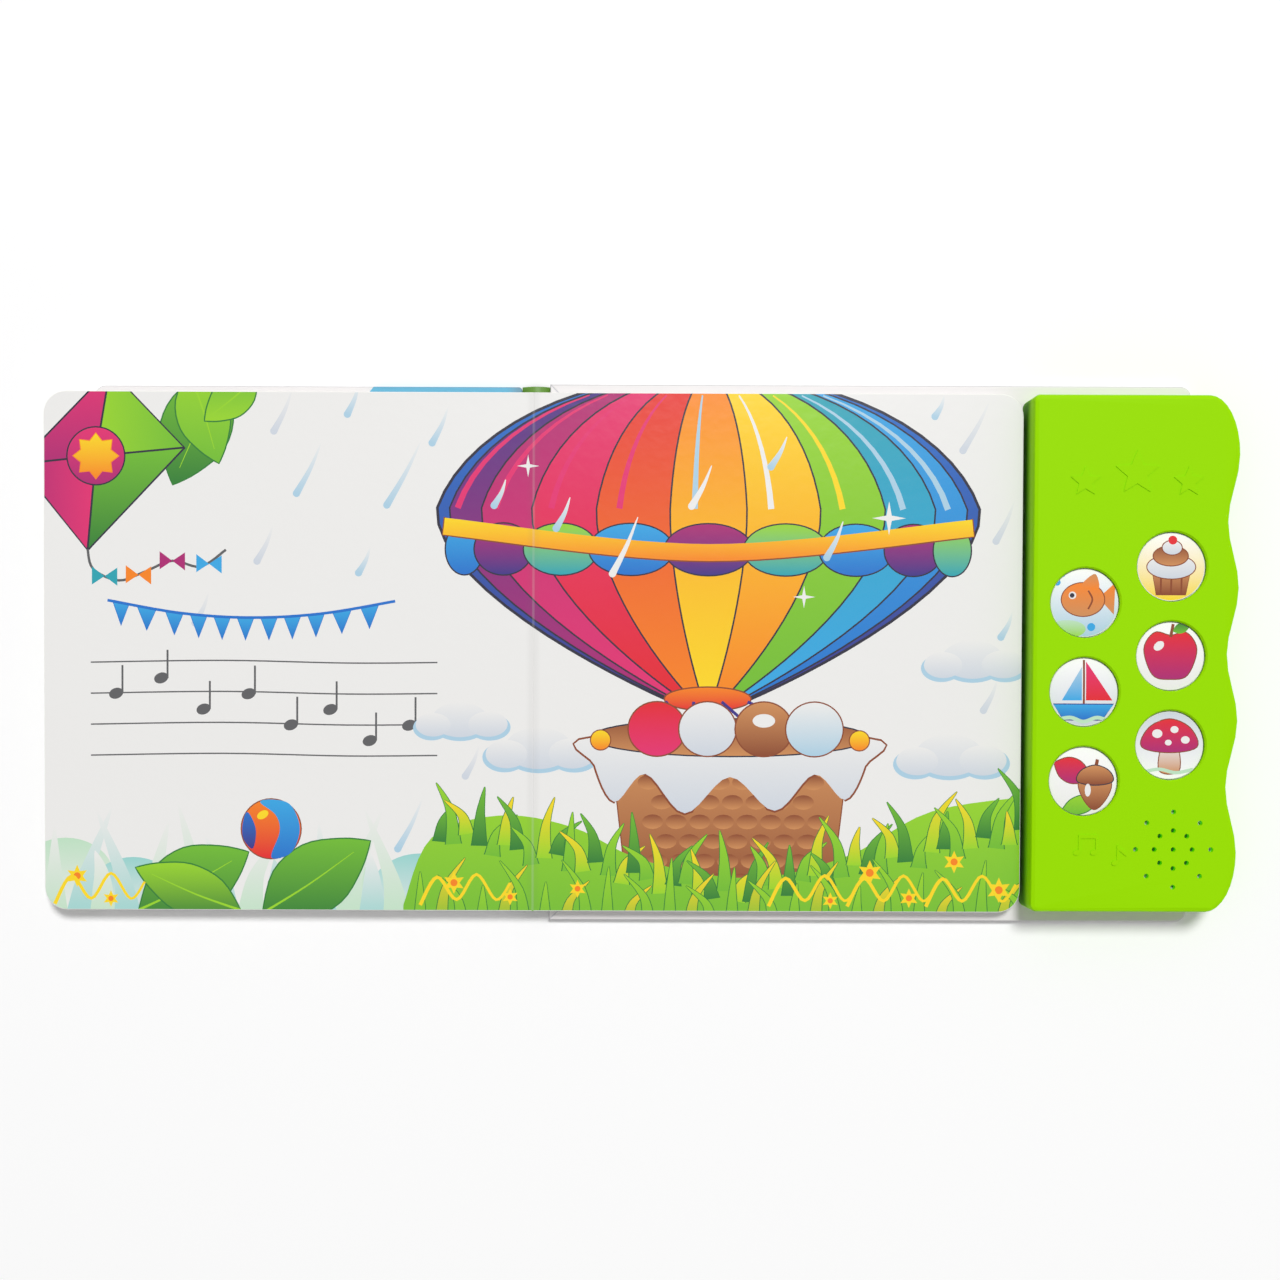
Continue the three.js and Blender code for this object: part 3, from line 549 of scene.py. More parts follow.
def print_finish(name, book, creased):
    """Glossy laminated print. Its colours come with the sheet."""
    finish = Finish(name)
    place, x, y, _ = finish.point()
    near = finish.node("ShaderNodeAttribute", {"attribute_name": "ink"}).outputs["Color"]
    far = finish.node("ShaderNodeAttribute", {"attribute_name": "ink_far"}).outputs["Color"]
    run = finish.node("ShaderNodeAttribute", {"attribute_name": "ink_run"}).outputs["Vector"]
    along, across, offset = (
        finish.value(part) for part in finish.node("ShaderNodeSeparateXYZ", {}, Vector=run).outputs
    )
    blend = (along * x + across * y + offset).least(1.0).most(0.0)
    tone = finish.mix(blend, near, far)
    # Painted highlight along the fold, and painted shade beside it
    if creased:
        fold = (x - book.sizes.gutter).size()
        fold_highlight = (1 - fold.fade(0.2 * MM, 0.6 * MM)) * book.finishes.fold_highlight_share
        tone = finish.mix(fold_highlight, tone, rgba(book.inks.paper))
        fold_shade = (1 - fold.fade(0.8 * MM, 3 * MM)) * book.finishes.fold_share
        tone = finish.mix(fold_shade, tone, rgba(book.inks.ash))
    ripple = finish.noise(place, 220.0)
    finish.set(
        Base_Color=tone,
        Roughness=0.22,
        Specular_IOR_Level=0.45,
        Normal=finish.bump(ripple, 0.25, 0.2 * MM),
    )
    return finish.material


def plain(name, tone, roughness, metallic=0.0, bump=None):
    """A single colour with a faint unevenness. bump is (scale, strength, distance)."""
    finish = Finish(name)
    place, *_ = finish.point()
    patches = finish.noise(place, 60.0)
    shade = finish.mix(patches * 0.1, rgba(tone), rgba([part * 0.8 for part in tone]))
    inputs = {"Base_Color": shade, "Roughness": roughness, "Metallic": metallic}
    if bump:
        scale, strength, distance = bump
        inputs["Normal"] = finish.bump(finish.noise(place, scale), strength, distance)
    return finish.set(**inputs)


def bent(x, y, reach, turn, bend):
    """Three points from (x, y) in a direction in degrees, the middle one moved by bend."""
    end = turned(x, y, reach, 0, math.radians(turn))
    return [(x, y), ((x + end[0]) / 2 + bend[0], (y + end[1]) / 2 + bend[1]), end]


def streamers(art, places):
    """Short pale paper streamers: x, y, length, direction in degrees and ink."""
    for x, y, reach, turn, ink in places:
        art.add(oval(x, y, 1.3, sides=16), ink)
        tail = stroke(bent(x, y, reach, turn, (0.6, 0)), 2.6, 0.3)
        art.add(tail, ink, "paper", turned(0, 0, 1, 0, math.radians(turn)))


def ribbed_leaves(art, places, bend, wide):
    """Leaves with a pale rib: x, y, length, width, direction in degrees and two inks."""
    for x, y, reach, width, turn, ink, far in places:
        art.lined(leaf(x, y, reach, width, turn), ink, far, "leaf")
        art.add(stroke(bent(x, y, 0.85 * reach, turn, bend), wide, 0.2), "lime")


def clouds(art, places, ink):
    """Clouds with a blue edge: x, y and size."""
    for x, y, size in places:
        for part in cloud(x, y - 1, size * 1.06):
            art.add(part, "mist")
        for part in cloud(x, y, size):
            art.add(part, ink, "fog")


def blossoms(art, places):
    """Yellow stars with an orange heart: x, y and size."""
    for x, y, size in places:
        art.add(star(x, y, size, 6, 0.5), "yellow")
        art.add(oval(x, y, size * 0.32, sides=12), "orange")


def kite(art):
    top, right, low, left = (-150, 99), (-124, 72), (-158, 36), (-182, 66)
    centre = (-155, 69)
    art.lined([top, left, low, right], "magenta", width=0.8)
    art.add([top, right, centre], "lime", "green", (1, 0))
    art.add([right, low, centre], "green", "leaf")
    art.add([low, left, centre], "pink", "magenta", (-1, 0))
    art.add([left, top, centre], "magenta", "pink", (0, 1))
    for x, y in (top, right, low, left):
        art.add(stroke([centre, (x, y)], 0.7), "dark")
    art.lined(oval(*centre, 10), "pink", "magenta")
    art.lined(star(*centre, 8, 8, 0.7), "yellow", "orange", "orange", 0.4)
    tail = [low, (-156, 29), (-147, 25), (-138, 28), (-128, 32), (-118, 30), (-109, 36)]
    art.add(stroke(tail, 0.9), "ash")
    for x, y, ink in (
        (-152, 26.5, "teal"), (-140, 27, "orange"), (-128, 32, "magenta"), (-115, 31, "sky"),
    ):
        art.add([(x, y), (x - 4.5, y + 3.4), (x - 4.5, y - 3)], ink)
        art.add([(x, y), (x + 4.5, y - 3.4), (x + 4.5, y + 3)], ink)


def pennants(art):
    cord = [(-151, 18), (-125, 13.5), (-100, 12), (-75, 13.5), (-49, 18)]
    route = curve(cord, False, 6)
    for index in range(1, len(route) - 2, 2):
        (x, y), (u, v) = route[index], route[index + 1]
        tip = ((x + u) / 2, (y + v) / 2 - 8)
        art.lined([(x - 0.8, y), tip, (u + 0.8, v)], "sky", "blue", "blue", 0.3)
    art.add(stroke(cord, 1.0), "blue")


def stave(art):
    """Thin grey lines with plain notes."""
    for line in range(4):
        y = -4 - line * 11
        art.add(stroke([(-157, y), (-110, y + 0.8), (-66, y), (-34, y + 0.3)], 0.5), "ash")
    for x, y in (
        (-148, -15), (-132, -9.5), (-117, -20.5), (-101, -15),
        (-86, -26), (-72, -20.5), (-58, -31.5), (-44, -26),
    ):
        art.add(oval(x, y, 2.6, 1.9, 20, 20), "ash")
        art.add([(x + 1.9, y), (x + 2.6, y), (x + 2.6, y + 10), (x + 1.9, y + 10)], "ash")


def balloon(art):
    """Gores between curved seams, a scalloped band, ropes and a basket."""
    middle, crown, wide, tall = 62, 38, 98, 60
    stations = 28

    def profile(step):
        part = step / stations
        phase = part * 0.86 * math.pi
        waist = 1 - 0.66 * max(0.0, (part - 0.5) / 0.5) ** 1.3
        return wide * math.sin(phase) * waist, crown + tall * math.cos(phase)

    def seam(phase):
        levels = [profile(step) for step in range(1, stations + 1)]
        return [(middle + half * math.sin(phase), y) for half, y in levels]

    quarter = math.pi / 2
    art.lined(seam(-quarter) + seam(quarter)[::-1], "indigo", width=1)
    inks = "blue indigo magenta pink red orange yellow lime teal sky blue".split()
    fars = "indigo magenta pink red orange yellow orange green sky blue indigo".split()
    glints = "pink pink pink pink pink mist paper yellow mist mist mist".split()
    gores = len(inks)
    for gore in range(gores):
        low_phase = -quarter + math.pi * gore / gores
        high_phase = low_phase + math.pi / gores
        art.add(seam(low_phase) + seam(high_phase)[::-1], inks[gore], fars[gore])
        if 0 < gore < gores - 1:
            line = seam(low_phase + 0.32 * math.pi / gores)[4:14]
            art.add(stroke(line, 0.5, 2.2, 1), glints[gore])
    for gore in range(1, gores):
        art.add(stroke(seam(-quarter + math.pi * gore / gores), 0.6, steps=1), "dark")
    reach, level = profile(16)
    for index in range(9):
        phase = -1.2 + index * 0.3
        x = middle + reach * math.sin(phase)
        span = reach * 0.15 * math.cos(phase) + 1.5
        ink, far = (("sky", "blue"), ("magenta", "indigo"), ("lime", "teal"))[index % 3]
        art.lined(oval(x, level - 3, span, 9), ink, far)
    band = [(middle - reach - 1, level + 5), (middle, level - 4), (middle + reach + 1, level + 5)]
    art.lined(stroke(band, 6, steps=12), "orange", "yellow", "brown", 0.5, (0, 1))
    mouth, mouth_y = profile(stations)
    art.lined(oval(middle, mouth_y, mouth + 1, 4), "orange", "red", "brown")
    for side in (-1, -0.35, 0.35, 1):
        rope = [(middle + side * mouth, mouth_y - 1), (middle + 8 + side * 40, -32)]
        art.add(stroke(rope, 1.1), "indigo")
    basket(art, middle + 8)


def basket(art, middle):
    wicker = [(middle - 42, -36), (middle + 42, -36), (middle + 36, -86), (middle - 36, -86)]
    art.lined(wicker, "tan", "brown", "brown", 0.8)
    for row in range(6):
        reach = 34 - row * 0.8
        for column in range(9):
            x = middle - reach + 5 + column * 8.4 + (4 if row % 2 else 0)
            if x < middle + reach:
                art.add(oval(x, -46 - row * 7, 3.8, 2.6, 0, 16), "brown", "tan")
    drape = [
        (-48, -30), (48, -30), (48, -40), (41, -52), (30, -43), (16, -56),
        (0, -44), (-16, -57), (-30, -43), (-41, -53), (-48, -40),
    ]
    art.lined(curve([(middle + x, y) for x, y in drape]), "paper", "fog", "brown", 0.7)
    art.lined(oval(middle, -30, 49, 6.5), "brown", "tan")
    for x, ink, far in (
        (-26, "red", "pink"), (-8, "paper", "fog"), (12, "tan", "brown"), (30, "paper", "mist"),
    ):
        art.lined(oval(middle + x, -27, 10, 9.5), ink, far, "brown")
    art.add(oval(middle + 12, -24, 4, 2.4), "paper")
    for side in (-1, 1):
        art.lined(oval(middle + side * 46, -31, 3.4), "yellow", "orange", "brown", 0.4)


def blade(art, x, foot, high, lean, wide, ink, far):
    """A bent blade of grass with a thin dark edge."""
    route = [(x, foot), (x + 0.2 * lean, foot + 0.55 * high), (x + lean, foot + high)]
    art.add(stroke(route, wide + 0.7, 0.5), "leaf")
    art.add(stroke(route, wide, 0.1), ink, far, (0, 1))


def meadow(art):
    ridge = [
        (-46, -90), (-36, -66), (-12, -58), (14, -62), (40, -74),
        (78, -80), (112, -72), (142, -56), (182, -50),
    ]
    art.add(curve(ridge, False) + [(184, -98), (-46, -98)], "lime", "green")
    for index in range(2, 48):
        x = -42 + index * 4.6
        side = abs(x - 70) / 110
        ground = -80 + 24 * side + 3 * math.sin(index * 1.9)
        high = 17 + 5 * math.sin(index * 2.7)
        lean = 9 * math.sin(index * 1.3)
        ink, far = (("green", "lime"), ("lime", "yellow"), ("leaf", "green"))[index % 3]
        blade(art, x, ground - 8, high, lean, 5.5, ink, far)
    for index in range(30):
        high = 19 + 5 * math.sin(index * 1.7)
        lean = 10 * math.sin(index * 2.1)
        blade(art, -40 + index * 7.4, -97, high, lean, 5, "green", ("lime", "yellow", "lime")[index % 3])


def far_plants(art):
    """Pale bushes and blades at the foot of the left page."""
    for x, y, size, ink in (
        (-166, -80, 17, "mint"), (-142, -86, 16, "lagoon"),
        (-66, -90, 18, "mint"), (-40, -86, 18, "lagoon"),
    ):
        art.add(oval(x, y, size, size * 0.8), ink, "paper")
    for index in range(15):
        x = -170 + index * 8.7
        tip = (x + 12 * math.sin(index * 1.7), -62 + 9 * math.sin(index * 2.3))
        route = [(x, -96), (x + 0.2 * (tip[0] - x), -80), tip]
        art.add(stroke(route, 11, 0.2), ("mint", "lagoon")[index % 2], "paper", (0, 1))


def ball(art):
    art.lined(oval(-93, -63, 10.5), "orange", "red", "brown", 0.4)
    right = [
        (-97, -53.5), (-91.5, -58), (-90, -64), (-93, -73.2),
        (-86, -71.5), (-82.8, -63), (-86, -54.6), (-92, -52.6),
    ]
    art.add(curve(right), "sky", "blue")
    left = [(-101.5, -57), (-98.5, -63), (-99.5, -70), (-102.7, -67), (-103.3, -62)]
    art.add(curve(left), "blue", "indigo")
    art.add(oval(-96, -58, 2.2, 1.4, 30, 16), "yellow")


def page_picture(inks):
    """One picture over both pages."""
    art = Picture(inks)
    far_plants(art)
    streamers(art, (
        (-92, 78, 16, 66, "fog"), (-84, 56, 20, 64, "mist"), (-66, 84, 12, 70, "mist"),
        (-52, 52, 26, 62, "mist"), (-36, 74, 14, 66, "mist"), (-120, 10, 12, 66, "fog"),
        (-98, 32, 14, 66, "fog"), (-62, 28, 10, 66, "mist"), (-48, -70, 20, 64, "mist"),
        (-24, -44, 12, 66, "fog"), (152, 72, 20, 62, "fog"), (142, 84, 8, 66, "mist"),
        (164, 40, 16, 66, "fog"), (160, -20, 12, 66, "fog"), (166, 6, 10, 66, "mist"),
    ))
    ribbed_leaves(art, (
        (-112, 98, 42, 24, -112, "green", "leaf"),
        (-122, 99, 34, 18, -72, "lime", "green"),
        (-98, 97, 24, 13, -140, "green", "lime"),
    ), (0.5, 0), 0.8)
    kite(art)
    pennants(art)
    stave(art)
    clouds(art, ((156, -2, 11), (-26, -24, 10), (148, -36, 12), (2, -34, 12)), "paper")
    balloon(art)
    streamers(art, (
        (28, 28, 22, 66, "paper"), (8, 44, 12, 66, "mist"), (56, 52, 16, 64, "paper"),
        (84, 66, 12, 62, "mist"), (104, 34, 14, 66, "mist"), (-14, 52, 10, 66, "mist"),
    ))
    for x, y, size in ((126, 48, 6), (96, 20, 4), (-2, 66, 4), (-112, -78, 4)):
        art.add(star(x, y, size, 4, 0.22), "paper")
    meadow(art)
    ribbed_leaves(art, (
        (-140, -92, 44, 24, 28, "green", "leaf"),
        (-96, -93, 46, 24, 34, "green", "leaf"),
        (-104, -92, 40, 17, 158, "lime", "leaf"),
    ), (0, -0.8), 0.9)
    ball(art)
    blossoms(art, (
        (-162, -80, 4), (-150, -88, 3), (-28, -82, 4), (-8, -87, 3), (120, -78, 4.5), (134, -87, 3.5),
        (150, -74, 4), (166, -84, 4.5), (16, -84, 3.2), (106, -88, 3),
    ))
    for x in (-170, -40, 84, 112, 140):
        wave = [(x, -90), (x + 6, -80), (x + 13, -88), (x + 20, -79), (x + 27, -88), (x + 32, -82)]
        art.add(stroke(wave, 1.3, 0.9), "yellow")
    return art


def cover_picture(inks):
    """The outside of the front cover, as seen through the board from above."""
    art = Picture(inks, 0.6, (-160, 12))
    art.add(oval(10, 10, 400), "white")
    sky = [(106, 150), (112, 104), (96, 70), (126, 34), (156, 52), (206, 20), (240, 150)]
    art.add(curve(sky, False) + [(106, 150)], "haze", "mist")
    clouds(art, ((150, 96, 15), (182, 62, 12), (-34, 92, 13), (-30, -22, 11)), "white")
    far = [(-70, -110), (-40, -98), (10, -108), (60, -92), (120, -106), (170, -94), (210, -104)]
    art.add(curve(far, False) + [(210, -200), (-70, -200)], "mint", "lagoon")
    balloon(art)
    near = [(-70, -138), (-20, -120), (30, -134), (90, -118), (150, -134), (210, -122)]
    art.add(curve(near, False) + [(210, -200), (-70, -200)], "lime", "green")
    blossoms(art, ((-34, -140, 7), (16, -148, 6), (64, -140, 7), (118, -146, 6), (170, -142, 7)))
    return art


def fish(art):
    art.add(oval(-5, -7.6, 5.4, 2.6), "mint", "lime")
    art.add([(4, 1.5), (9, 6), (8.6, -3.4)], "orange", "tan")
    art.lined(oval(-0.5, 1, 6.2, 4.8), "orange", "tan")
    art.add(curve([(-1, 5), (3, 8.5), (4, 4)]), "tan", "orange")
    art.add(oval(-3.6, 2.2, 1.1, sides=16), "paper")
    art.add(oval(-3.7, 2.2, 0.7, sides=12), "dark")
    art.add(stroke([(1, 3.6), (2.2, 1), (1, -1.8)], 0.5), "brown")
    for x, y, size in ((-8, 6, 1), (-6.4, 8.2, 0.7), (2, -7, 1.2)):
        art.add(oval(x, y, size, sides=16), "sky")


def boat(art):
    art.add([(0.6, 9), (0.6, -2.4), (8.4, -2.4)], "pink", "red")
    art.add([(-0.6, 7.4), (-0.6, -2.4), (-6.4, -2.4)], "mist", "sky")
    art.add([(-0.3, 9.4), (0.3, 9.4), (0.3, -4), (-0.3, -4)], "brown")
    art.lined([(-8.8, -3.6), (-5.8, -8), (5.4, -8), (8.8, -3.6)], "sky", "blue", "indigo")
    art.add(stroke([(-9, -8.4), (-4, -7.4), (0, -8.6), (4, -7.4), (8, -8.6)], 1.1), "mint")


def acorn(art):
    art.lined(leaf(-8.4, 5.4, 12, 7, -24), "red", "magenta")
    art.lined(leaf(-6, -8.6, 12, 5, 18), "lime", "green", "leaf")
    art.lined(curve([(-0.6, 0.4), (7.6, 0.4), (7.4, -4), (3.4, -8.2), (-0.4, -4)]), "tan", "brown")
    art.add(stroke([(3.5, 3), (4.2, 6.4)], 1.0), "brown")
    cup = [(-1.6, 0), (-0.6, 3), (3.5, 4.6), (7.6, 3), (8.6, 0), (3.5, -1)]
    art.lined(curve(cup), "tan", "brown", "dark")
    art.add(oval(1.4, -2.6, 0.9, 1.9, 0, 12), "paper")


def cake(art):
    art.lined([(-5.6, -1), (5.6, -1), (4.2, -8), (-4.2, -8)], "tan", "brown")
    for x in (-3, 0, 3):
        art.add([(x - 0.3, -1), (x + 0.3, -1), (x + 0.24, -8), (x - 0.24, -8)], "brown")
    art.lined(oval(0, 0, 7, 3.4), "paper", "fog")
    art.lined(oval(-0.2, 3.2, 5, 2.8), "brown", "tan")
    art.lined(oval(0.2, 5.6, 2.8, 2), "paper", "fog")
    art.add(oval(0.4, 7.8, 1.3, sides=16), "red")


def apple(art):
    body = [(0, 6), (4.6, 6.8), (7.6, 2), (5, -5.4), (0, -6.6), (-5, -5.4), (-7.6, 2), (-4.6, 6.8)]
    art.lined(curve(body), "red", "magenta")
    art.add(oval(-3.4, 3, 1.7, 1.2, 40, 16), "paper")
    art.add(stroke([(0, 5.6), (0.8, 9.4)], 0.9), "brown")
    art.add(leaf(0.6, 7.2, 6, 3, 22), "leaf", "green")


def toadstool(art):
    art.lined(curve([(-2, 0), (2, 0), (2.8, -7.4), (-2.8, -7.4)]), "paper", "tan")
    art.lined(curve([(-8, -0.4), (-6, 5), (0, 7.6), (6, 5), (8, -0.4), (0, -2)]), "red", "magenta")
    for x, y, size in ((-3.6, 3.4, 1.5), (1.4, 4.6, 1.2), (4.6, 1.6, 1.3), (-0.4, 0.8, 1)):
        art.add(oval(x, y, size, size * 0.85, sides=16), "paper")
    art.add(stroke([(-8, -8), (-3, -7), (2, -8), (7, -7)], 1.0), "mint")


def label_pictures(inks, radius):
    """Six round pictures of this radius, in the order of the buttons."""
    scale = 1.2
    made = []
    for draw, ground, far in (
        (fish, "white", "mist"), (boat, "white", "fog"), (acorn, "white", "paper"),
        (cake, "white", "yellow"), (apple, "white", "paper"), (toadstool, "fog", "white"),
    ):
        art = Picture(inks, scale, line="brown", width=0.3)
        art.add(oval(0, 0, radius / scale, sides=64), ground, far)
        draw(art)
        made.append(art)
    return made


def rectangle(side, top):
    """A rectangle about the origin, up to x = side and y = top."""
    return [(-side, -top), (side, -top), (side, top), (-side, top)]


def rounded_block(left, right, bottom, top, left_radius, right_radius, steps=8):
    """A rectangle with a corner radius at each end, counter-clockwise, as (point, outward) pairs."""
    made = []
    for x, y, radius, start in (
        (right, bottom, right_radius, -90),
        (right, top, right_radius, 0),
        (left, top, left_radius, 90),
        (left, bottom, left_radius, 180),
    ):
        outward = (1 if x == right else -1, 1 if y == top else -1)
        centre = (x - outward[0] * radius, y - outward[1] * radius)
        if radius == 0:
            made.append((centre, outward))
            continue
        for step in range(steps + 1):
            turn = math.radians(start + 90 * step / steps)
            outward = (math.cos(turn), math.sin(turn))
            point = (centre[0] + radius * outward[0], centre[1] + radius * outward[1])
            made.append((point, outward))
    return made


def inset(outline, depth):
    """The points of (point, outward) pairs, moved inwards."""
    return [(x - depth * u, y - depth * v) for (x, y), (u, v) in outline]


def wall(low, high, count):
    """Faces between two rings of corners whose numbers start at low and high."""
    made = []
    for i in range(count):
        j = (i + 1) % count
        made.append((low + i, low + j, high + j, high + i))
    return made


def soft_slab(name, outline, low, high, rounding, body, material, holes=()):
    """A slab with rounded upper and lower edges. Outline and holes are in metres."""
    steps = 4
    levels = []
    for step in range(steps + 1):
        turn = math.pi / 2 * step / steps
        levels.append((low + rounding * (1 - math.sin(turn)), rounding * (1 - math.cos(turn))))
    levels = levels[::-1] + [(low + high - z, depth) for z, depth in levels]
    corners, faces = [], []
    count = len(outline)
    for z, depth in levels:
        corners += [(x, y, z) for x, y in inset(outline, depth)]
    for level in range(len(levels) - 1):
        faces += wall(level * count, (level + 1) * count, count)
    rim = [tuple(part / MM for part in point) for point in inset(outline, rounding)]
    plan = Picture(None)
    for hole in holes:
        plan.add([(x / MM, y / MM) for x, y in hole], "hole")
    points, kept = plan.partition(rim)
    for z, flip in ((low, True), (high, False)):
        first = len(corners)
        corners += [(x * MM, y * MM, z) for x, y in points]
        for face, top in kept:
            if top < 0:
                face = [first + corner for corner in face]
                faces.append(face[::-1] if flip else face)
    for hole in holes:
        first, count = len(corners), len(hole)
        corners += [(x, y, z) for z in (low, high) for x, y in hole]
        faces += [(b, a, d, c) for a, b, c, d in wall(first, first + count, count)]
    piece = mesh_piece(name, corners, faces, None, material)
    piece.data.set_sharp_from_angle(angle=BOARD_CREASE)
    if body:
        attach(piece, body)
    return piece


def add_pages(book):
    sizes = book.sizes
    gutter, rounding = sizes.gutter, sizes.leaf_rounding
    leaves = 3
    art = page_picture(book.inks)
    finish = print_finish("page_print", book, True)
    edge = plain("leaf_edges", book.finishes.edge, 0.5)
    # Glued core between the leaves; its grey is painted shade that darkens the grooves
    glue_and_groove_shade = plain("leaf_core", book.finishes.lining, 0.7)
    for node, body in (("right_pages", "root"), ("left_pages", "front_cover")):
        low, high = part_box(node)
        radii = (sizes.page_corner, 0) if low.x < gutter else (0, sizes.page_corner)
        outline = rounded_block(low.x, high.x, low.y, high.y, *radii)
        thick = (high.z - low.z - (leaves - 1) * sizes.leaf_groove) / leaves
        for index in range(leaves):
            name = f"{node}_leaf_{index + 1}"
            foot = low.z + index * (thick + sizes.leaf_groove)
            board = soft_slab(name, outline, foot, foot + thick, rounding, body, edge)
            if index == 0:
                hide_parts(node)
        core = [(point, (0, 0)) for point in inset(outline, sizes.leaf_core)]
        foot, top = low.z + thick / 2, high.z - thick / 2
        soft_slab(f"{node}_core", core, foot, top, 0, body, glue_and_groove_shade)
        face = high.z + sizes.print_lift
        border = [((x - gutter) / MM, y / MM) for x, y in inset(outline, rounding)]
        inner = sizes.page_gap / MM
        border = [(x if abs(x) > 1 else math.copysign(inner, x), y) for x, y in border]
        name = f"{node}_print"
        printed_sheet(name, art, border, body, finish, lambda x, y: face, (gutter, 0.0))


def finish_node(node, material):
    piece = frame["nodes"][node]
    piece.data.materials.clear()
    piece.data.materials.append(material)


def soft_copy(name, node, material):
    """Stands for a CAD piece of the root body, with smooth shading over its curved sides."""
    source = frame["nodes"][node].data
    places, corners, numbers = {}, [], []
    for vertex in source.vertices:
        key = tuple(round(part / MM, 3) for part in vertex.co)
        if key not in places:
            places[key] = len(corners)
            corners.append(vertex.co)
        numbers.append(places[key])
    faces = [[numbers[index] for index in face.vertices] for face in source.polygons]
    faces = [face for face in faces if len(set(face)) == len(face)]
    piece = mesh_piece(name, corners, faces, "root", material)
    piece.data.set_sharp_from_angle(angle=SHELL_CREASE)
    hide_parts(node)
    return piece


def add_gutter(book):
    """The printed paper over the fold."""
    sizes = book.sizes
    _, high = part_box("right_pages")
    reach = sizes.page_gap / MM
    top = high.y / MM
    art = page_picture(book.inks)
    for part in (0.7, 0.4, 0.1):
        art.divide(rectangle(reach * part, top), "paper")
    gutter, dip = sizes.gutter, sizes.gutter_dip
    face = high.z + sizes.print_lift
    hinge = printed_sheet(
        "gutter_paper",
        art,
        rectangle(reach, top),
        None,
        print_finish("gutter_print", book, True),
        lambda x, y: face - dip * (1 - (x / reach) ** 2),
        (gutter, 0.0),
    )
    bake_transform(hinge)


def painted_edge_shade(z, top, book):
    """Painted edge shade: how grey the wrapped paper is just under a board's upper face."""
    shaded_edge = book.sizes.shaded_edge
    edge = z.fade(top - 2 * shaded_edge, top - shaded_edge)
    return edge * (1 - z.fade(top - shaded_edge, top - 0.1 * shaded_edge)) * book.finishes.edge_shade_share


def wrapping(finish, tone, relief):
    """Matt paper in this tone."""
    return finish.set(Base_Color=tone, Roughness=0.45, Specular_IOR_Level=0.3, Normal=relief)


def add_front_cover(book):
    """White board with a blue corner, and the print on its outside."""
    sizes, finishes = book.sizes, book.finishes
    low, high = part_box("front_board")
    paper = Finish("cover_paper")
    place, x, y, z = paper.point()
    slope = sizes.turn_in_slant / (10 * MM)
    slanted = x - sizes.turn_in_start - (y - sizes.turn_in_level) * slope
    blue = slanted.fade(0.0, 0.2 * MM) * y.fade(0.0, 0.2 * MM)
    # Painted shade: the cover paper greys towards the spine, where it bends round
    bend = x.fade(high.x - 6 * MM, high.x - MM) * finishes.bend_shade_share
    tone = paper.mix(blue, rgba(finishes.cover), rgba(book.inks.haze))
    tone = paper.mix(bend, tone, rgba(finishes.shaded_edge))
    # Painted edge shade along the board's rounded upper edge
    tone = paper.mix(painted_edge_shade(z, high.z, book), tone, rgba(finishes.shaded_edge))
    fibres = paper.bump(paper.noise(place, 900.0), 0.1, 0.1 * MM)
    radius = sizes.board_corner
    outline = rounded_block(low.x, high.x, low.y, high.y, radius, radius / 3)
    foot = low.z
    front = soft_slab(
        "front_cover_board",
        outline,
        foot + sizes.print_lift,
        high.z,
        sizes.board_rounding,
        "front_cover",
        wrapping(paper, tone, fibres),
    )
    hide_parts("front_board")
    printed_sheet(
        "front_cover_print",
        cover_picture(book.inks),
        [(x / MM, y / MM) for x, y in inset(outline, sizes.board_rounding)],
        "front_cover",
        print_finish("cover_print", book, False),
        lambda x, y: foot,
        (0.0, 0.0),
        True,
    )


def add_back_cover(book):
    """White board with turned-in paper round its lining, and a doorway for the battery door."""
    sizes, finishes = book.sizes, book.finishes
    low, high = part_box("back_board")
    lining = Finish("back_cover_paper")
    _, x, y, z = lining.point()
    from_side, from_end = high.y - y.size(), x - low.x
    edge = from_side.least(from_end).least(high.x - x)
    step = edge.fade(sizes.turn_in_width, sizes.turn_in_width + 0.3 * MM)
    mitre = (from_side - from_end).size().fade(0.0, 0.4 * MM)
    inside = z.fade(high.z - MM, high.z - 0.1 * MM)
    fold = (1 - mitre) * (1 - from_end.fade(9 * MM, 9.5 * MM)) * inside
    tone = lining.mix(fold, rgba(finishes.cover), rgba(finishes.lining))
    # Painted edge shade along the board's rounded upper edge
    tone = lining.mix(painted_edge_shade(z, high.z, book), tone, rgba(finishes.shaded_edge))
    folds = lining.bump((1 - step) * inside + (1 - fold), 1.0, sizes.paper_thickness)
    door_low, door_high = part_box("battery_door")
    margin = sizes.doorway_margin
    left, right = door_low.x - margin, door_high.x + margin
    doorway = rounded_block(
        left, right, door_low.y - margin, door_high.y + margin, 3 * margin, 3 * margin, 4
    )
    back = soft_slab(
        "back_cover_board",
        rounded_block(low.x, high.x, low.y, high.y, 0, sizes.board_corner),
        low.z,
        high.z,
        sizes.board_rounding,
        "root",
        wrapping(lining, tone, folds),
        [[point for point, _ in doorway]],
    )
    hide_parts("back_board")


def add_spine(book):
    """Paper that arches from board to board."""
    sizes = book.sizes
    low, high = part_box("spine_strip")
    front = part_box("front_board")[1].x
    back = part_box("back_board")[0].x
    steps = 16
    section = []
    for step in range(steps + 1):
        arch = sizes.spine_height * math.sin(math.pi * step / steps)
        section.append((front + (back - front) * step / steps, sizes.paper_lift + arch))
    corners = [(x, y, z) for y in (low.y + sizes.spine_end, high.y) for x, z in section]
    row = len(section)
    faces = [(i, i + 1, i + 1 + row, i + row) for i in range(steps)]
    material = plain("spine_paper", book.finishes.spine, 0.4)
    spine = mesh_piece("spine_paper", corners, faces, None, material)
    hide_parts("spine_strip")
    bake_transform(spine)


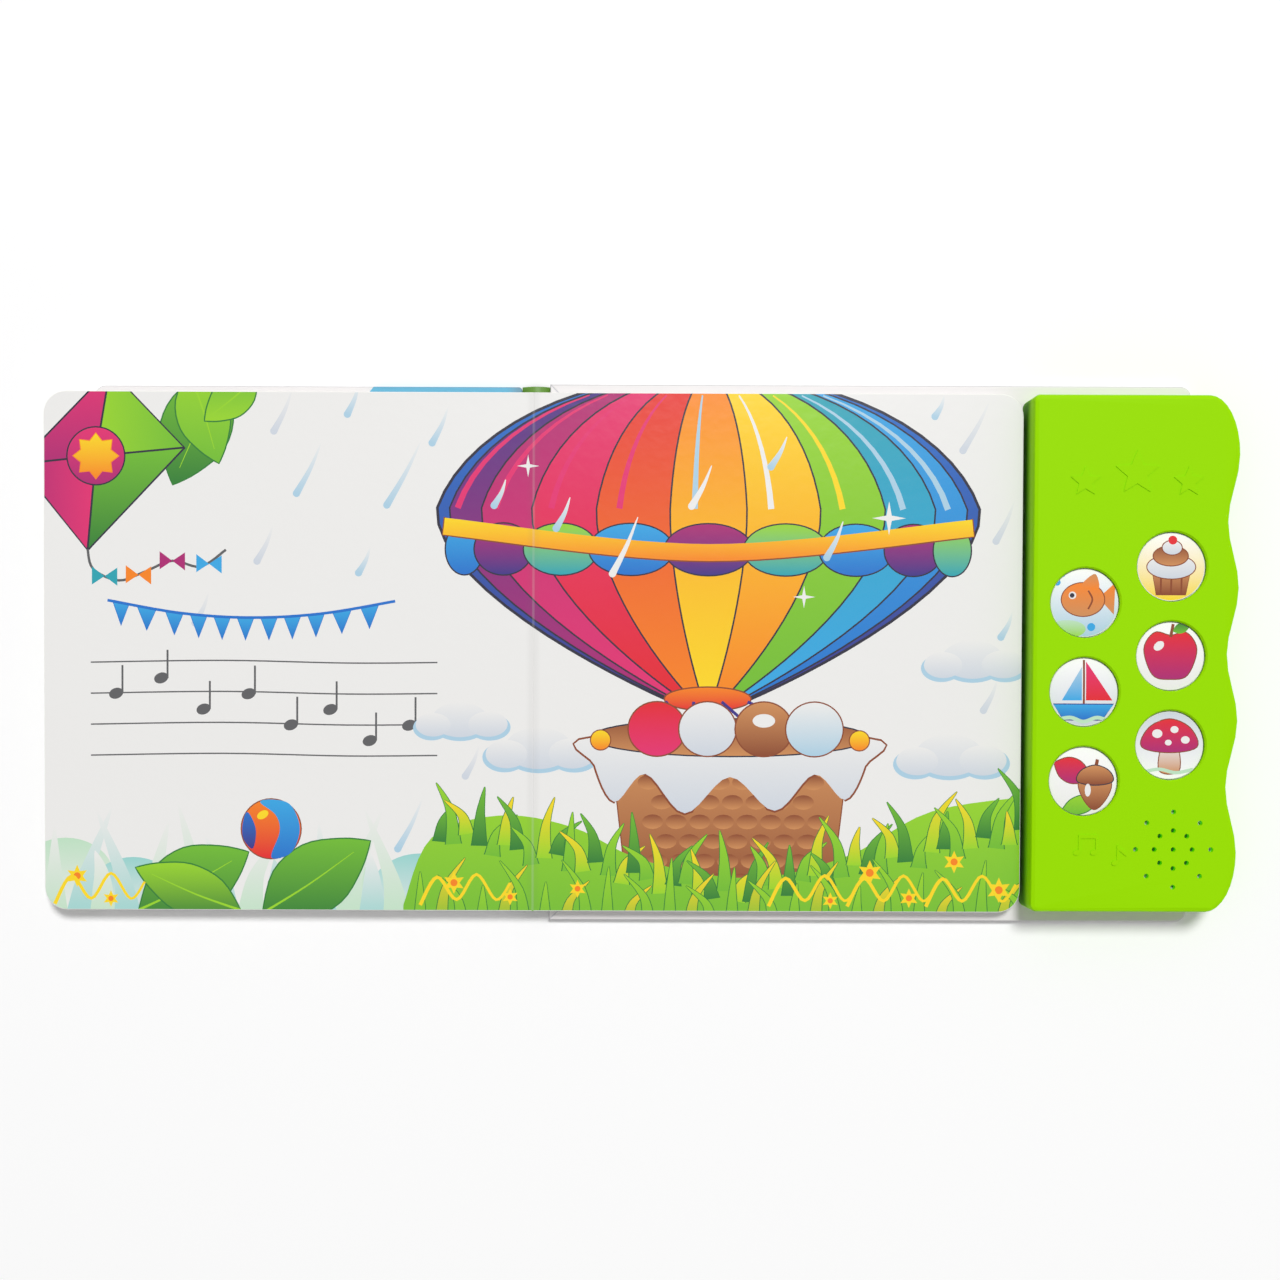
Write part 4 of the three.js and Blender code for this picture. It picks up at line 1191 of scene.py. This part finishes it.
def add_unit(book):
    """Lime plastic with painted shade in the slot beside the pages, and a painted glow in the sound
    holes that stands in for light coming through the plastic.
    """
    sizes, finishes = book.sizes, book.finishes
    lime = Finish("lime_plastic")
    place, x, y, z = lime.point()
    grain = lime.noise(place, 1 / sizes.grain, 3.0)
    low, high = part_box("top_shell")
    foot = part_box("right_pages")[1].z
    # Painted shade: the plastic darkens in the slot beside the pages, low down near them
    beside = 1 - x.fade(low.x + 0.3 * MM, low.x + MM)
    deep = 1 - z.fade(foot, foot + sizes.slot_depth)
    shade = beside * deep * finishes.slot_share
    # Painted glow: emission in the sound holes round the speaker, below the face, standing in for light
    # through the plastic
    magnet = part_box("speaker_magnet")
    middle = (magnet[0] + magnet[1]) / 2
    away = (x - middle.x) * (x - middle.x) + (y - middle.y) * (y - middle.y)
    near = 1 - away.fade(sizes.painted_glow_reach ** 2, (sizes.painted_glow_reach + 0.5 * MM) ** 2)
    face = high.z - sizes.relief
    painted_glow = near * (1 - z.fade(face - 0.4 * MM, face - 0.2 * MM))
    lime.set(
        Base_Color=lime.mix(shade, rgba(finishes.plastic), rgba(finishes.slot)),
        Roughness=0.5,
        Specular_IOR_Level=0.05,
        Emission_Color=lime.mix(painted_glow, rgba((0, 0, 0)), rgba(finishes.slot)),
        Emission_Strength=finishes.painted_glow,
        Normal=lime.bump(grain, 0.12, 0.2 * MM),
    )
    for node in ("top_shell", "bottom_shell"):
        shell = soft_copy(f"lime_{node}", node, lime.material)
        shell.modifiers.new("even_faces", "WEIGHTED_NORMAL").keep_sharp = True
    finish_node("battery_door", lime.material)


def add_labels(book):
    """Round pictures that bulge a little."""
    sizes = book.sizes
    cap = plain("button_cap", book.finishes.cap, 0.35)
    finish = print_finish("label_print", book, False)
    low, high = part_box("picture_label_1")
    radius = ((high.x - low.x) / 2 + sizes.label_reach) / MM
    crown = sizes.label_crown
    rim = high.z - crown
    slices = 24
    for index, art in enumerate(label_pictures(book.inks, radius - sizes.label_rim / MM), 1):
        node = f"picture_label_{index}"
        low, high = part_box(node)
        centre = (low + high) / 2
        for ring in (0.2, 0.4, 0.6, 0.8):
            art.divide(oval(0, 0, radius * ring, sides=slices), "white")
        label = printed_sheet(
            f"label_{index}",
            art,
            oval(0, 0, radius, sides=64),
            f"push_button_{index}",
            finish,
            lambda x, y: rim + crown * max(0.0, 1 - (x * x + y * y) / radius ** 2),
            (centre.x, centre.y),
        )
        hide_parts(node)
        finish_node(f"button_{index}", cap)


def add_domes(book):
    """The silicone domes under the buttons, smoothly shaded."""
    rubber = plain("rubber", book.finishes.rubber, 0.8)
    for joint in frame["joints"]:
        if not joint["name"].startswith("press_"):
            continue
        index = joint["name"][len("press_"):]
        node = f"rubber_dome_{index}"
        dome = soft_copy(f"soft_dome_{index}", node, rubber)
        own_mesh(dome)


def add_insides(book):
    finishes = book.finishes
    steel = plain("steel", finishes.steel, 0.3, 1.0)
    brass = plain("contacts", finishes.brass, 0.3, 1.0)
    materials = {
        "circuit_board": plain("circuit_mask", finishes.circuit, 0.35),
        "sound_chip": plain("chip_resin", finishes.resin, 0.3),
        "speaker_frame": steel,
        "speaker_cone": plain("cone_film", finishes.cone, 0.85, bump=(1500.0, 0.3, 0.2 * MM)),
        "speaker_magnet": plain("magnet", finishes.magnet, 0.4, 1.0),
        "battery_door_screw": steel,
    }
    red = plain("red_wire", finishes.wire_red, 0.5)
    black = plain("black_wire", finishes.wire_black, 0.5)
    for node in frame["nodes"]:
        if node.startswith(("battery_cell", "shell_screw")):
            finish_node(node, steel)
        elif node.startswith(("battery_link", "battery_terminal")):
            finish_node(node, brass)
        elif node.endswith("wire_red"):
            finish_node(node, red)
        elif node.endswith("wire_black"):
            finish_node(node, black)
        elif node in materials:
            finish_node(node, materials[node])


def add_world(sizes):
    """White where the camera, a reflection or a clear piece sees it, and dimmer as light."""
    world = bpy.data.worlds.new("studio")
    bpy.context.scene.world = world
    world.use_nodes = True
    tree = world.node_tree
    background = tree.nodes["Background"]
    background.inputs["Color"].default_value = (1, 1, 1, 1)
    path = tree.nodes.new("ShaderNodeLightPath").outputs
    seen, mirrored, through = (
        Value(tree, path[name]) for name in ("Is Camera Ray", "Is Glossy Ray", "Is Transmission Ray")
    )
    ambient = 1 - sizes.light_share
    strength = seen.most(mirrored).most(through) * (1 - ambient) + ambient
    tree.links.new(strength.socket, background.inputs["Strength"])


def add_light(sizes):
    """One round lamp, as strong as its share of a plain light level."""
    distance, height = sizes.light_distance, sizes.light_height
    aim = Vector((
        math.cos(sizes.light_turn) * math.cos(height),
        math.sin(sizes.light_turn) * math.cos(height),
        math.sin(height),
    ))
    lamp = bpy.data.lights.new("main_light", "AREA")
    lamp.shape = "DISK"
    lamp.size = sizes.light_size
    lamp.energy = sizes.light_share * math.pi ** 2 * distance ** 2 / math.sin(height)
    light = bpy.data.objects.new("main_light", lamp)
    bpy.context.scene.collection.objects.link(light)
    light.location = aim * distance
    light.rotation_euler = aim.to_track_quat("Z", "Y").to_euler()
    return light


def add_floor(book):
    """Takes shadows near the book, and is plain white for the camera further out."""
    sizes = book.sizes
    finish = Finish("floor")
    _, x, y, _ = finish.point()
    camera_ray = finish.value(finish.node("ShaderNodeLightPath", {}).outputs["Is Camera Ray"])
    bare = (x * x + y * y).fade(sizes.floor_shaded ** 2, sizes.floor_white ** 2) * camera_ray
    black, white = rgba((0, 0, 0)), rgba(book.finishes.floor)
    finish.set(
        Base_Color=finish.mix(bare, white, black),
        Roughness=0.9,
        Specular_IOR_Level=0.0,
        Emission_Color=finish.mix(bare, black, white),
        Emission_Strength=1.0,
    )
    reach = sizes.floor_reach
    corners = [(x, y, -sizes.floor_drop) for x, y in rectangle(reach, reach)]
    return mesh_piece("floor", corners, [(0, 1, 2, 3)], None, finish.material)


def add_camera(sizes):
    lens = bpy.data.cameras.new("camera")
    lens.lens = sizes.lens
    lens.sensor_width = 36
    lens.shift_x = sizes.shift_x
    lens.shift_y = sizes.shift_y
    camera = bpy.data.objects.new("camera", lens)
    bpy.context.scene.collection.objects.link(camera)
    camera.location = (sizes.camera_x, sizes.camera_y, sizes.camera_z)
    camera.rotation_euler = Euler((sizes.camera_pitch, sizes.camera_roll, sizes.camera_turn))
    bpy.context.scene.camera = camera


class SoundBook(bpy.types.PropertyGroup):
    """Everything that can be set about the book."""

    inks: PointerProperty(type=SoundBookInks)
    finishes: PointerProperty(type=SoundBookFinishes)
    sizes: PointerProperty(type=SoundBookSizes)


class SOUNDBOOK_OT_pages(bpy.types.Operator):
    """Adds the leaves of both page blocks and the printed sheets on them"""

    bl_idname = "soundbook.pages"
    bl_label = "Printed pages"

    def execute(self, context):
        add_pages(context.scene.sound_book)
        return {"FINISHED"}


class SOUNDBOOK_OT_gutter(bpy.types.Operator):
    """Adds the paper hinge between the pages"""

    bl_idname = "soundbook.gutter"
    bl_label = "Gutter paper"

    def execute(self, context):
        add_gutter(context.scene.sound_book)
        return {"FINISHED"}


class SOUNDBOOK_OT_covers(bpy.types.Operator):
    """Adds the wrapped cover boards, the front cover's print and the spine paper"""

    bl_idname = "soundbook.covers"
    bl_label = "Cover paper"

    def execute(self, context):
        book = context.scene.sound_book
        add_front_cover(book)
        add_back_cover(book)
        add_spine(book)
        return {"FINISHED"}


class SOUNDBOOK_OT_unit(bpy.types.Operator):
    """Gives the shells of the sound unit their plastic"""

    bl_idname = "soundbook.unit"
    bl_label = "Sound unit"

    def execute(self, context):
        add_unit(context.scene.sound_book)
        return {"FINISHED"}


class SOUNDBOOK_OT_labels(bpy.types.Operator):
    """Adds the round pictures on the buttons"""

    bl_idname = "soundbook.labels"
    bl_label = "Button pictures"

    def execute(self, context):
        add_labels(context.scene.sound_book)
        return {"FINISHED"}


class SOUNDBOOK_OT_domes(bpy.types.Operator):
    """Adds the silicone domes under the buttons"""

    bl_idname = "soundbook.domes"
    bl_label = "Silicone domes"

    def execute(self, context):
        add_domes(context.scene.sound_book)
        return {"FINISHED"}


class SOUNDBOOK_OT_insides(bpy.types.Operator):
    """Gives the electrical parts their finishes"""

    bl_idname = "soundbook.insides"
    bl_label = "Electrical parts"

    def execute(self, context):
        add_insides(context.scene.sound_book)
        return {"FINISHED"}


class SOUNDBOOK_OT_stage(bpy.types.Operator):
    """Adds the floor, the lights and the camera"""

    bl_idname = "soundbook.stage"
    bl_label = "Stage"

    def execute(self, context):
        book = context.scene.sound_book
        context.scene.view_settings.view_transform = "Standard"
        add_world(book.sizes)
        light = add_light(book.sizes)
        add_floor(book)
        add_camera(book.sizes)
        return {"FINISHED"}


class SOUNDBOOK_PT_panel(bpy.types.Panel):
    """Lists the steps that build the book"""

    bl_idname = "SOUNDBOOK_PT_panel"
    bl_label = "Sound book"
    bl_space_type = "VIEW_3D"
    bl_region_type = "UI"
    bl_category = "Sound book"

    def draw(self, context):
        for operator in OPERATORS:
            self.layout.operator(operator.bl_idname)


OPERATORS = (
    SOUNDBOOK_OT_pages,
    SOUNDBOOK_OT_gutter,
    SOUNDBOOK_OT_covers,
    SOUNDBOOK_OT_unit,
    SOUNDBOOK_OT_labels,
    SOUNDBOOK_OT_domes,
    SOUNDBOOK_OT_insides,
    SOUNDBOOK_OT_stage,
)
CLASSES = (SoundBookInks, SoundBookFinishes, SoundBookSizes, SoundBook, *OPERATORS, SOUNDBOOK_PT_panel)


def register():
    for cls in CLASSES:
        bpy.utils.register_class(cls)
    bpy.types.Scene.sound_book = PointerProperty(type=SoundBook)


def unregister():
    del bpy.types.Scene.sound_book
    for cls in reversed(CLASSES):
        bpy.utils.unregister_class(cls)


def main():
    register()
    for operator in OPERATORS:
        group, name = operator.bl_idname.split(".")
        getattr(getattr(bpy.ops, group), name)()


if __name__ == "__main__":
    main()
